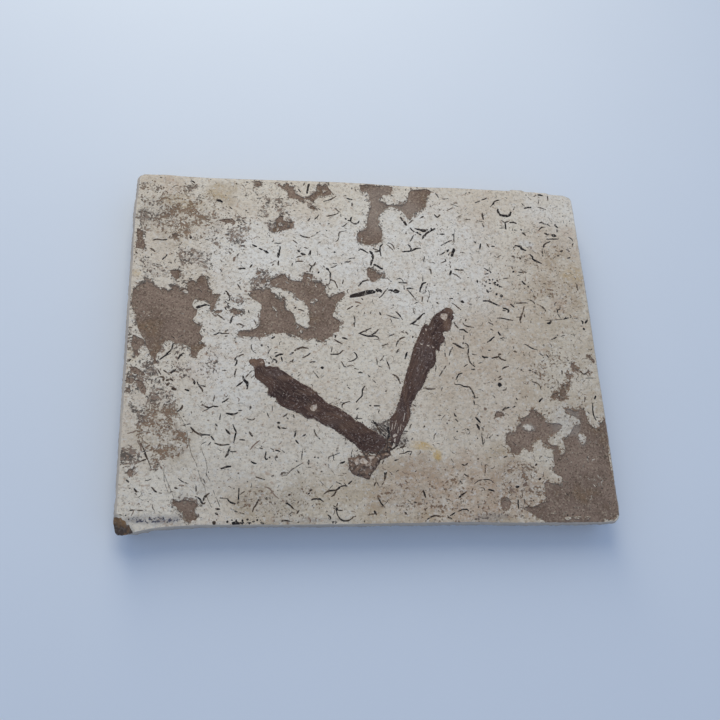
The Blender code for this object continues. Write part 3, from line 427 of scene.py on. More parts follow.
LONG_FLECKS = (                   # flecks too broad to be strokes, each a tone and an outline
    ("black", ((-6.2, 15.6), (-5.9, 16.4), (-4.4, 17), (-2.7, 17.5), (-0.6, 18.2), (1.5, 18.5), (2.6, 17.9),
               (2.3, 17.2), (0.9, 16.9), (-0.6, 16.5), (-2.7, 15.8), (-4.8, 15.4), (-6, 15.3))),
    ("black", ((3.2, 18.9), (4.3, 18.8), (4.8, 18.2), (4.5, 17.4), (3.6, 17.9))),
    ("black", ((7, 18.5), (8.3, 18.3), (9.3, 18.9), (10.7, 18.4), (10.1, 17.5), (8.9, 17.4), (8.3, 17.9))),
    ("black", ((1.5, 31.2), (1.9, 29.9), (1.2, 29), (1.1, 27.6), (1.6, 27.4), (2, 28.8), (2.5, 30),
               (2.6, 31.2))),
    ("slate", ((-67.1, 20.6), (-66.6, 20.8), (-66, 21.3), (-64.6, 21.3), (-63.4, 22), (-63.2, 22.9),
               (-63.9, 23.2), (-64.6, 22.9), (-65.4, 22.2), (-66.4, 21.8))),
    # The film that joins the feet of the wings and the body, and a pale ring in it.
    ("stump", ((-4.6, -35.6), (0, -35), (2.4, -31.6), (3.4, -32.3), (4.4, -31.6), (5, -32.4), (5.6, -34),
               (5, -35), (5.4, -35.9), (4.5, -36.1), (4.7, -37.5), (3.6, -38.1), (2.2, -38.6), (1.2, -39.2),
               (-2, -38.8), (-3.3, -37.8), (-4, -36.8))),
    ("bare", ((-2.6, -37.5), (-1.8, -37), (-1, -37.1), (-0.3, -37), (0.1, -37.5), (-0.2, -38.2),
              (-1.2, -38.7), (-2.2, -38.2))),
)

# Dark plant flecks. Each is its tone, its width in mm, and the points that it runs through.
K, D, M, B, C = "black", "dark", "middling", "brown", "crack"
FLECKS_NEAR_LEFT = (
    (D, 0.5, -55.2, -29, -53.9, -30.3, -52.6, -31.2, -51, -31.3, -49.5, -31.4),
    (D, 0.45, -49.2, -31.7, -48.2, -33), (M, 0.35, -49.2, -33.6, -50, -34.6),
    (D, 0.5, -48, -33.9, -46.4, -34.4, -43.8, -34.2), (K, 0.6, -44.8, -29.6, -43.6, -31),
    (D, 0.45, -42.8, -28, -42.1, -29.9, -41.9, -30.6, -42.5, -33.7), (M, 0.45, -40.8, -32.8, -39.2, -32.9),
    (D, 0.5, -37.9, -30.3, -37, -31.7), (D, 0.5, -43.5, -34.9, -43.9, -36.3, -44.4, -37.5, -44.9, -38.1),
    (M, 0.35, -43.8, -36.4, -42.5, -36.5, -41.7, -36.3), (K, 0.55, -46, -41.6, -44.5, -41.1, -43.2, -40.9),
    (D, 0.5, -41, -43), (D, 0.5, -37.2, -39.5), (B, 0.35, -34.9, -33, -36.4, -34.2, -37.6, -35.8),
    (M, 0.4, -53, -46.7, -52.9, -48.2, -52.6, -49.3),
    (D, 0.5, -53.1, -49.8, -51.8, -50.6, -51, -51.9, -50.3, -51.6),
    (D, 0.5, -50.9, -51.1, -50.3, -49.8, -49.2, -48.9), (D, 0.4, -65.5, -47.1, -64.6, -48.1, -63.9, -48.6),
    (M, 0.35, -63.4, -48.7, -62.6, -48.8), (M, 0.4, -60.9, -48.8, -59.5, -48.3),
    (D, 0.45, -59.1, -47.3, -58.3, -47.4), (M, 0.3, -58.1, -44.5, -56.8, -45.5, -55.5, -46),
    (B, 0.5, -57.8, -46.6, -56.5, -46.7), (D, 0.4, -71.1, -53.7, -69.8, -53.6),
    (D, 0.3, -69, -53.7, -67.5, -53.7), (D, 0.45, -70.3, -47.4, -69.8, -48.2, -69.1, -48.4),
    (M, 0.35, -70, -48.8, -69.5, -49.3), (M, 0.5, -72.7, -44.9, -72, -45.6),
    (M, 0.35, -74, -54.8, -73.3, -55), (D, 0.45, -72.2, -55.1),
    (D, 0.45, -44, -50.5, -43.2, -51.5, -41.7, -52), (M, 0.35, -46.1, -50.3, -44, -50.5),
    (D, 0.4, -40.8, -47.5, -40.8, -49.8, -40.8, -51.1, -41.2, -51.9), (M, 0.35, -40.4, -49.3, -39.1, -48.4),
    (D, 0.5, -47.3, -53.4, -46.1, -53.6), (D, 0.5, -47.4, -54.6, -46.6, -55.1),
    (M, 0.35, -41.9, -54.2, -41, -54.4), (M, 0.35, -40.4, -54.6, -39.1, -55), (D, 0.9, -47.6, -57.3),
    (K, 0.6, -42.5, -57.5, -40.6, -57.6), (K, 0.6, -40.4, -57.6, -39.3, -57.5),
    (K, 0.5, -38.3, -57.6, -37.1, -57.7), (K, 0.6, -34.4, -57.6, -33.6, -57.8), (K, 0.7, -43.9, -57.2),
    (K, 0.6, -41.4, -56.8), (K, 0.7, -39.6, -56.9), (K, 0.6, -38.2, -56.6), (K, 0.7, -36.4, -57.2),
    (K, 0.6, -35.4, -56.8), (K, 0.5, -42.6, -56.7), (B, 0.5, -63.3, -40.9, -62.9, -41.6),
    (B, 0.45, -70.2, -33.2, -69.3, -34.8, -69, -36.4), (D, 0.4, -68.1, -36.9, -67.2, -38.8),
    (D, 0.5, -68.9, -39.3, -67.6, -38.8), (B, 0.4, -73.2, -31, -71.6, -30.6, -70.7, -30),
    (D, 0.45, -65.6, -55.8), (D, 0.4, -65, -56.4), (D, 0.35, -64.2, -56.2), (D, 0.4, -63.5, -56.6),
    (D, 0.4, -61.7, -56), (D, 0.4, -60.7, -57.1), (D, 0.4, -71.3, -56.2),
)
FLECKS_NEAR_MIDDLE = (
    (D, 0.45, -24, -29.9, -24.3, -31, -24.5, -31.9), (M, 0.4, -22, -31.6, -21.1, -31),
    (D, 0.5, -24.1, -32.8, -23.3, -33.9), (M, 0.4, -18.6, -29.4, -18, -31.1, -16.8, -32.5),
    (M, 0.35, -34.9, -35.2, -34, -35.6), (M, 0.35, -31.6, -35.4, -30.8, -35.8),
    (D, 0.45, -30.2, -36, -28.8, -36.3), (M, 0.35, -28.2, -36, -27.5, -36.7),
    (D, 0.5, -33, -36.5, -33.2, -38.1, -32.9, -38.8, -32.5, -38.6), (D, 0.5, -31.9, -38.2),
    (D, 0.7, -29.8, -38), (D, 0.45, -37.1, -39.7, -35.8, -40.1),
    (M, 0.3, -22, -35.5, -22.3, -37.3, -22.5, -38.8), (M, 0.55, -20.3, -39, -20.4, -40.4),
    (M, 0.3, -20.6, -41.2, -19.7, -41.2),
    (M, 0.25, -22.1, -39.9, -24, -41, -25.3, -41.9, -26.6, -43.2, -27.2, -43.8),
    (D, 0.6, -28.6, -43.3, -27.3, -42.8), (D, 0.7, -31, -43.8), (M, 0.4, -23.8, -42, -23.2, -43),
    (D, 0.6, -16.5, -42.5), (M, 0.45, -11.5, -35.3, -11.9, -36),
    (M, 0.35, -11, -36.8, -13, -37.5, -14.2, -38.1, -14.5, -39.4), (M, 0.3, -14.6, -40.2, -14.3, -41.4),
    (K, 0.5, -11, -40, -9.5, -39.5), (M, 0.3, -10.2, -43.2, -9.1, -43),
    (D, 0.4, -35.9, -44.1, -33.3, -44.9),
    (D, 0.45, -16, -49.3, -14.9, -48.5, -13, -48.2, -12.3, -48.1, -11.5, -47.5, -10.7, -46.9, -9.1, -46.9),
    (M, 0.3, -12.3, -45.6, -10.7, -46.4), (D, 0.5, -8.6, -46.3, -7.6, -45.4),
    (D, 0.45, -12.4, -48.5, -13, -49.5, -13.8, -50.1), (D, 0.4, -14.5, -50.8),
    (M, 0.3, -14.6, -48, -13.4, -46.7), (D, 0.45, -20.7, -49.4, -20.2, -48.9), (D, 0.7, -19.8, -48.1),
    (D, 0.5, -19.7, -51, -18.5, -50.7, -17.2, -50.8, -16.2, -51.6),
    (B, 0.35, -33.3, -47.1, -31.8, -47.6, -31, -48.8, -30.2, -49.8, -29.2, -50.6), (D, 0.6, -26.2, -49.5),
    (D, 0.8, -32.8, -50.5), (D, 0.45, -35.1, -50.8, -35.7, -52.1, -36.4, -53.2, -36.8, -54.4),
    (D, 0.45, -27.1, -51.9, -26, -52.5, -24.9, -53.6), (B, 0.6, -28, -51.2),
    (M, 0.35, -23.4, -51.4, -23.8, -52.1), (D, 0.45, -23.3, -54, -24, -55), (D, 0.4, -25.8, -55.5),
    (M, 0.35, -22.9, -55.3, -22.1, -55.8), (B, 0.35, -20.8, -56, -20.2, -56.8, -20.1, -57.7),
    (D, 0.45, -28.4, -57.2, -27.6, -57, -26, -57.2), (M, 0.4, -24, -57.7, -23.4, -57.4),
    (D, 0.45, -15, -55.5, -14.3, -56, -14.2, -56.7), (D, 0.5, -13.8, -57.5, -12.4, -57.6),
    (D, 0.4, -12, -52.1, -12.4, -53.2, -12.3, -55, -11.5, -56.6, -10.4, -57.2, -9.1, -57.2, -8.1, -56.7,
     -7.6, -56.2, -6.8, -55.9), (K, 0.7, -12.4, -53.3, -12.2, -54), (D, 0.35, -12, -54.1, -10.7, -54.2),
    (D, 0.4, -13.3, -52.8, -12.5, -53.3), (M, 0.3, -3.4, -55.8, -2.4, -55.4, -1.1, -55.3),
    (K, 0.6, -1.2, -54.4, -0.7, -55.5), (M, 0.4, -4.2, -57.2, -4.4, -57.7),
    (D, 0.45, 0, -50.3, 0.5, -51.2, 0.9, -52.2, 2, -53.4),
    (D, 0.4, -1, -46.9, -0.5, -46, 0, -45.9, 0.4, -46.8), (M, 0.3, -0.3, -44.4, -0.3, -45.6),
    (D, 0.55, 3, -42.8, 2.3, -44.9), (M, 0.35, 2, -45.9, 1, -47.3),
    (D, 0.35, 7.2, -37.1, 8.8, -36.8, 9.9, -36.3, 11.2, -36.3), (M, 0.3, 10.5, -37.4, 11.1, -36.5),
    (K, 0.5, 5.7, -39.1, 6.8, -38.8), (M, 0.4, 11.4, -32.5, 11.8, -31.9),
    (M, 0.35, 19.4, -30.2, 18.6, -31, 18.3, -32.4), (D, 0.5, 25.9, -29.8),
    (M, 0.35, 33.6, -30.5, 33.7, -32.4, 33.8, -33.9), (M, 0.3, 35.9, -31.9, 37.2, -30.8),
    (D, 0.7, 31.8, -38.6), (D, 0.4, 26.5, -40.3, 27.4, -40.6, 28.3, -40),
    (D, 0.35, 26.9, -43.3, 27.6, -43.8, 28.3, -44.1), (M, 0.45, 25.5, -45.4, 26.1, -46.3),
    (B, 0.7, 21.2, -42), (K, 0.6, 13.9, -48.5, 14.4, -50.4), (M, 0.4, 14.8, -51.9, 14.6, -52.5),
    (D, 0.4, 20.4, -48), (K, 0.5, 24.8, -50.5, 25.6, -49.8, 26.8, -49.1), (M, 0.4, 25.2, -51.2),
    (D, 0.5, 34.1, -48.2, 35.9, -48.6),
    (M, 0.3, 29.9, -46.4, 31.2, -45.4, 32.5, -45.1, 34.1, -45, 35.1, -45.3, 35.9, -45.9),
    (M, 0.3, 33.4, -43.8, 33.7, -42, 33.9, -40.4, 34.7, -40.6), (M, 0.45, 10.8, -51.9, 11.7, -52),
    (D, 0.6, 8.2, -55.1), (D, 0.4, 14, -57.5, 15.3, -56.6, 16.6, -56, 18.2, -56), (M, 0.4, 19, -57),
    (D, 0.5, 20.8, -56.4, 22, -57), (D, 0.4, 21.6, -56, 23.1, -55.1),
    (D, 0.4, 24.2, -54.7, 25.5, -54.2, 26.9, -54.1, 27.3, -54.7), (M, 0.5, 29.1, -57.1, 29.9, -57.1),
    (M, 0.35, 4.3, -48.4, 4.6, -48.2), (D, 0.4, 2.2, -54.9), (M, 0.3, 35.4, -38.1, 36, -38.2),
)
FLECKS_NEAR_RIGHT = (
    (D, 0.35, 38.4, -31, 39, -31), (D, 0.4, 40, -38.1, 41.1, -37.7), (M, 0.35, 48.2, -39.6, 48.3, -40.8),
    (D, 0.4, 48.3, -41.1, 49.2, -41.2), (D, 0.5, 49.8, -40.7, 50.4, -40.2), (B, 0.4, 45.5, -42, 45.7, -43),
    (D, 0.45, 50.4, -45.2, 51.1, -44.7), (D, 0.6, 42.9, -47.5, 43.8, -47.2),
    (B, 0.6, 41, -47.8, 41.9, -48.8, 42.5, -49.1), (B, 0.9, 45.3, -47, 46.4, -46.2),
    (D, 0.45, 43.1, -51.4, 42.9, -54), (D, 0.4, 47.9, -51.6), (M, 0.6, 65.4, -41), (M, 0.5, 70.5, -47.9),
    (D, 0.5, 57.8, -55.2), (D, 0.5, 58.2, -56.2),
)
FLECKS_MIDDLE_LEFT = (
    (K, 0.5, -61.4, -2.1, -61.7, -3.9, -62.7, -5.2, -64, -6.5, -65.2, -7.5),
    (K, 0.55, -58.2, -5.2, -59.1, -6, -59.7, -7.2), (D, 0.45, -63.9, -11, -63, -11.6, -62.1, -12.3),
    (D, 0.65, -61.8, -11.9, -60.4, -10.7), (M, 0.4, -65.6, -10.8, -64.6, -12.4),
    (D, 0.6, -65.1, -13.2, -63.8, -13.3, -63.8, -14.5), (D, 0.6, -62.9, -14.3, -61.8, -13.8, -61, -14.3),
    (D, 0.8, -62.6, -15.9, -62.1, -15.1), (D, 0.55, -54.7, -14.2, -54.5, -15.4),
    (D, 0.45, -53.8, -14.6, -53.1, -15.9, -52.3, -16.9, -52.1, -17.7), (D, 0.5, -53.1, -15.6, -51.3, -16.1),
    (D, 1, -61.1, -17, -60, -17), (D, 0.55, -57.3, -17.1, -56.1, -17.5),
    (D, 0.5, -57.8, -22.1, -58.1, -23.2, -59.1, -24.1),
    (D, 0.5, -52.1, -21.8, -51, -22.5, -50, -22.8, -49, -22.5), (D, 0.4, -49, -22.3, -47.3, -22.5),
    (M, 0.3, -50, -23.1, -51.9, -24.1), (M, 0.4, -55.2, -24.1, -55.1, -24.7),
    (M, 0.35, -48.4, -18.9, -48.8, -20.8), (D, 0.45, -46.1, -21.1, -44.9, -20.3, -44.3, -19.8),
    (K, 0.6, -44.8, -24.6, -43.2, -24.9, -41.5, -24.4), (M, 0.35, -41.2, -23.6, -40.2, -23.6),
    (M, 0.4, -37.4, -22.4, -37.9, -23.2), (D, 0.4, -38.7, -26.2, -37.1, -26.6, -36.3, -26.1),
    (M, 0.35, -46.5, -24.7, -46.7, -26.6), (M, 0.4, -48, -27.9, -47.4, -28.6),
    (M, 0.35, -57.3, -28.5, -56.2, -28.1, -55.2, -28),
    (D, 0.45, -40, -5.2, -41.4, -5.9, -42.3, -6.5, -42.6, -7.3, -41.9, -7.3, -42.1, -8.4, -42.5, -9.1),
    (D, 0.45, -42.1, -10.2, -42.5, -11.5, -42.6, -12.8),
    (K, 0.65, -40, -12.5, -39.6, -13.8, -38.8, -14.6, -38.6, -15.6, -38.8, -16.7),
    (M, 0.35, -39.3, -13, -38.8, -12.3, -37.3, -10.7), (D, 0.45, -40.1, -14.3, -41.9, -15.9),
    (M, 0.35, -37.6, -2, -37.6, -3.2, -37, -4.2, -36.1, -4.8), (M, 0.35, -46.4, -10.8, -45.1, -10.7),
    (M, 0.35, -49.1, -8.6, -48.4, -8.1, -47.8, -8.1), (D, 0.4, -46.4, -17.2),
    (M, 0.4, -45.8, 0.6, -45, 0.9), (M, 0.4, -42.6, 0.7, -42.7, -0.2), (D, 0.4, -74.6, -8.5, -73.7, -7.6),
    (D, 0.8, -34.4, -2.1), (D, 0.6, -32.4, -2.6), (M, 0.3, -31.4, -3, -32.2, -4.2, -32.5, -5.2),
    (M, 0.35, -31.8, -5.8, -31.2, -6.8), (D, 0.4, -30.5, -4.7, -29.5, -4.3),
    (K, 0.65, -30.1, -5.8, -28.9, -5.2, -27.9, -5), (D, 0.4, -28.4, -5.9, -28, -7.5),
    (D, 0.5, -32.4, -8, -31.9, -8.1), (D, 0.6, -31.2, -7.8, -30.7, -6.9, -29.9, -7.1),
    (D, 0.5, -29.7, -7.2, -29.9, -8), (M, 0.4, -25.7, -8.1, -25.5, -7.3, -24.7, -7.3),
    (D, 0.5, -24.6, -6.7, -25, -7.6), (D, 0.6, -25.6, -5, -24.6, -4.3),
    (D, 0.6, -24.1, -3.7, -22.9, -2.9, -21.6, -2.6, -19.9, -2.8),
    (D, 0.45, -21.7, -6, -20.3, -5.4, -19.3, -4.5), (M, 0.5, -19.5, -7.6, -17.8, -7.3),
    (K, 0.9, -15.6, -9.3), (M, 0.4, -17.3, -1.4), (M, 0.35, -12.3, -2.1, -12.6, -3.9),
    (D, 0.4, -13, -4.7, -11.5, -4.7, -10.2, -4.5, -9.5, -3.9, -8.9, -3.2),
    (D, 0.4, -5.4, -3.9, -4.7, -4.6, -4.5, -5.5, -5.5, -6.5, -7.2, -7.1),
    (M, 0.35, -9.5, -7.1, -9.1, -8, -8.6, -8.8, -7.7, -8.8, -6.5, -8.2, -5.5, -8.6),
    (M, 0.35, -5.5, -9.3, -4.3, -9.7), (M, 0.5, -4.2, -10.7, -3, -10.8), (M, 0.4, -1.2, -11.5, -0.7, -12.1),
    (M, 0.35, 0, -12.9, 1, -14), (M, 0.3, -7.8, -15.6, -7.1, -16.2),
    (D, 0.4, -2.4, -15.3, -3, -16, -3.3, -17, -3.4, -18.3, -4.3, -19.3, -5.4, -20.6),
    (D, 0.35, -7.2, -20.3, -8.6, -20.7, -9.7, -21.4, -9.8, -22.4), (M, 0.35, -12, -21.4, -11, -21),
    (M, 0.4, -18.5, -10.4, -17.6, -11.7, -16.9, -12.7), (M, 0.35, -22.4, -11.5, -23.2, -12.3),
    (M, 0.35, -4.7, -22.4, -5.4, -23.1), (D, 0.5, -5.1, -24.7, -5.4, -25.8),
    (M, 0.35, -5.9, -25.8, -3.7, -25.9), (D, 0.5, -1.2, -21.6, -0.8, -21.7),
    (D, 0.45, 0.2, -21.7, 2, -21.7), (M, 0.35, -33.3, -21.5), (D, 0.6, -37.7, -22.5),
    (M, 0.3, -31.1, -22.1, -31.1, -23.6), (M, 0.35, -32.7, -24.3, -32, -25.8),
    (M, 0.4, -26.6, -24.5, -27.1, -25, -27.9, -25.6), (M, 0.35, -26.7, -25.8, -26.3, -26.2),
    (M, 0.4, -24.8, -24.8, -24.5, -25.8), (K, 0.9, -29.2, -27.4), (K, 0.6, -29.4, -28.6, -28.8, -29.2),
    (D, 0.4, -28.4, -29, -27, -29.2), (D, 0.5, -11.6, 0.4, -10.4, -0.3, -9.1, -1.1),
    (K, 0.6, -9, 1, -7.4, 0.6),
)
FLECKS_MIDDLE_RIGHT = (
    (K, 0.55, 36.3, -4.4, 37, -4.7, 38.2, -4.7), (M, 0.4, 33, -3.7, 34.4, -4),
    (D, 0.6, 27, 0, 28.4, -0.7, 29.2, -1.3, 30.4, -1.7), (D, 0.45, 30.5, 0.4, 30.3, -0.2),
    (D, 0.45, 31, 0, 32, -0.6, 31.9, -3, 31.6, -3.6, 32, -6, 32.2, -6.8, 33.6, -8.1),
    (M, 0.4, 30, -8.1, 31.2, -7.3), (M, 0.35, 34.9, -6.9, 36.1, -6.5), (D, 0.5, 32.4, -9, 33.4, -9),
    (D, 0.4, 27, -12.6, 27.5, -11.6, 28, -10.8, 29.2, -10.3), (D, 0.35, 26.3, -14, 27.3, -14.4),
    (D, 0.4, 27.1, -14.2, 28.4, -14.4, 29.3, -14.9, 31.1, -15.1, 31.7, -16, 32.1, -17, 32.5, -18.2, 32.3,
     -18.7, 33.6, -18.6), (M, 0.4, 32.1, -19.4, 32.3, -20.9), (M, 0.3, 22.3, -15.2, 21.9, -16.6),
    (D, 0.4, 12.4, -21.1, 13.4, -21.7), (M, 0.35, 20.2, -24.6, 21.2, -24.6), (D, 0.5, 22.9, -27.2),
    (D, 0.6, 15.6, -28.3), (D, 0.5, 25.4, -24, 26, -25), (D, 0.5, 25.8, -25.8, 26.4, -26.6),
    (K, 0.6, 32.2, -25.2, 33, -26, 33.6, -26.8), (K, 0.7, 32.4, -27.5, 32.8, -28.4, 33, -29.2),
    (B, 0.4, 33.8, -25, 34.3, -25), (M, 0.4, 34.2, -28.5, 34.2, -29.5), (B, 1, 35.6, -22.4),
    (D, 0.4, 36.4, -26.7), (D, 0.35, 38.7, -24, 38.7, -25), (M, 0.5, 26, -22.6),
    (M, 0.35, 24.1, -2.5, 24.1, -4.8), (M, 0.4, 11.6, -27.5, 10.6, -29.2), (M, 0.35, 29, -29, 29.8, -29.4),
    (D, 0.45, 8.2, -1.6, 8.8, 0, 9.8, 1.2, 11.4, 1.8), (M, 0.4, 3.6, -1.5, 4.9, -1, 5.8, -0.9),
    (D, 0.5, 8.3, -3.6, 9, -2.6), (K, 0.6, 10.9, -5.8, 11.3, -4.6, 11.7, -3.5),
    (M, 0.4, 3, -6.5, 4.2, -4.8), (M, 0.35, 1.8, -6, 1.8, -8), (D, 0.45, 4.9, -6.5, 5.6, -8.2, 5.8, -9.4),
    (D, 0.5, 6.6, -11.2, 7.4, -11.6, 8.3, -12.6, 8.9, -14.2),
    (D, 0.45, 16.2, -15.6, 17.6, -15.9, 20, -15.8), (M, 0.45, 24, -8, 23.7, -8.6, 22.6, -10, 21.6, -11.5),
    (D, 0.6, 4.2, -16.8), (M, 0.35, 26.9, -1.4, 26, -2.6, 25.4, -4.4), (M, 0.4, 20.8, -8, 20.5, -9.9),
    (M, 0.35, 10.3, -0.9), (M, 0.3, 1.8, -22.9, 1.4, -24.2), (M, 0.3, 2.2, -8.4, 3.2, -8.8),
    (D, 0.5, 38.5, 0.5, 39.3, 1.1, 40.3, 1.9, 41.2, 2.6), (M, 0.4, 38.6, -2.2, 39.4, -2.2),
    (D, 0.55, 39.6, -5, 40.6, -4.7, 41.9, -4.5, 42.3, -5, 43.2, -5.5, 44.2, -5.6),
    (D, 0.5, 41.9, -4.3, 42, -3.7, 42.8, -3.5), (D, 0.4, 44.9, -7.7, 44, -8, 43.1, -8.3, 42.6, -8.8),
    (M, 0.3, 47.1, -0.7, 47.3, -1.5), (D, 0.6, 47.2, -2.4, 48, -2.6), (M, 0.4, 50.4, -2.8, 50.6, -3.8),
    (D, 0.35, 51.1, 0.2, 52, -0.2, 53.1, -1, 54.2, -1.5, 55.2, -1.6), (M, 0.4, 55.6, -2.8, 56.9, -3.8),
    (D, 0.4, 57, -4.4), (D, 0.5, 58.1, -3.4, 58.8, -4.4), (M, 0.35, 57, -5.5), (D, 0.5, 51.5, -9, 52.3, -9),
    (M, 0.35, 53, -9.6, 53.8, -10),
    (M, 0.35, 52.2, -12.1, 52.1, -12.8, 53.2, -13.2, 54.5, -14, 54.8, -15.6), (D, 0.4, 39.8, -12.3),
    (D, 0.4, 41, -11.8, 41.9, -11.1), (D, 0.4, 41.2, -12.4, 42.1, -12.1), (D, 1.4, 41.2, -14.2),
    (M, 0.4, 42, -16, 43, -15.8, 43.3, -15.1), (M, 0.4, 46.1, -18.5, 46.5, -19.2), (M, 0.5, 48.3, -18.2),
    (M, 0.3, 47.2, -17, 47.9, -17), (K, 0.55, 55, -18.5, 54.3, -19, 53.6, -19.8),
    (D, 0.6, 41.3, -22.8, 42.2, -22.1, 43.5, -21.8), (D, 0.5, 44.6, -21.8, 45.5, -21.4), (D, 0.4, 54, -22),
    (D, 0.5, 55.8, -22.8), (M, 0.3, 54.4, -24.2, 55.4, -23.9), (D, 0.4, 62.7, -8.9, 62.6, -10.2),
    (D, 0.4, 60.8, -13.8, 60.9, -12.5), (D, 0.5, 68.9, -9.2, 69.9, -10, 70.9, -9.9), (M, 0.4, 69.5, -2.7),
    (M, 0.35, 70.4, -0.8), (M, 0.5, 65, -5, 65.6, -5.5),
    (K, 0.4, 71.6, -20, 71.4, -21.4, 71.2, -23, 71.4, -24.6, 71.9, -25.8), (D, 0.5, 73, -17.5, 72.4, -18.6),
    (M, 0.35, 69.2, -17.8, 69.2, -18.6, 68.8, -19.6), (M, 0.35, 67.2, -20.9, 68, -20.4),
    (M, 0.3, 70.3, -11.4, 73.9, -11.4), (M, 0.3, 69.4, -23, 69.9, -23.6), (D, 0.5, 74, -5.6),
)
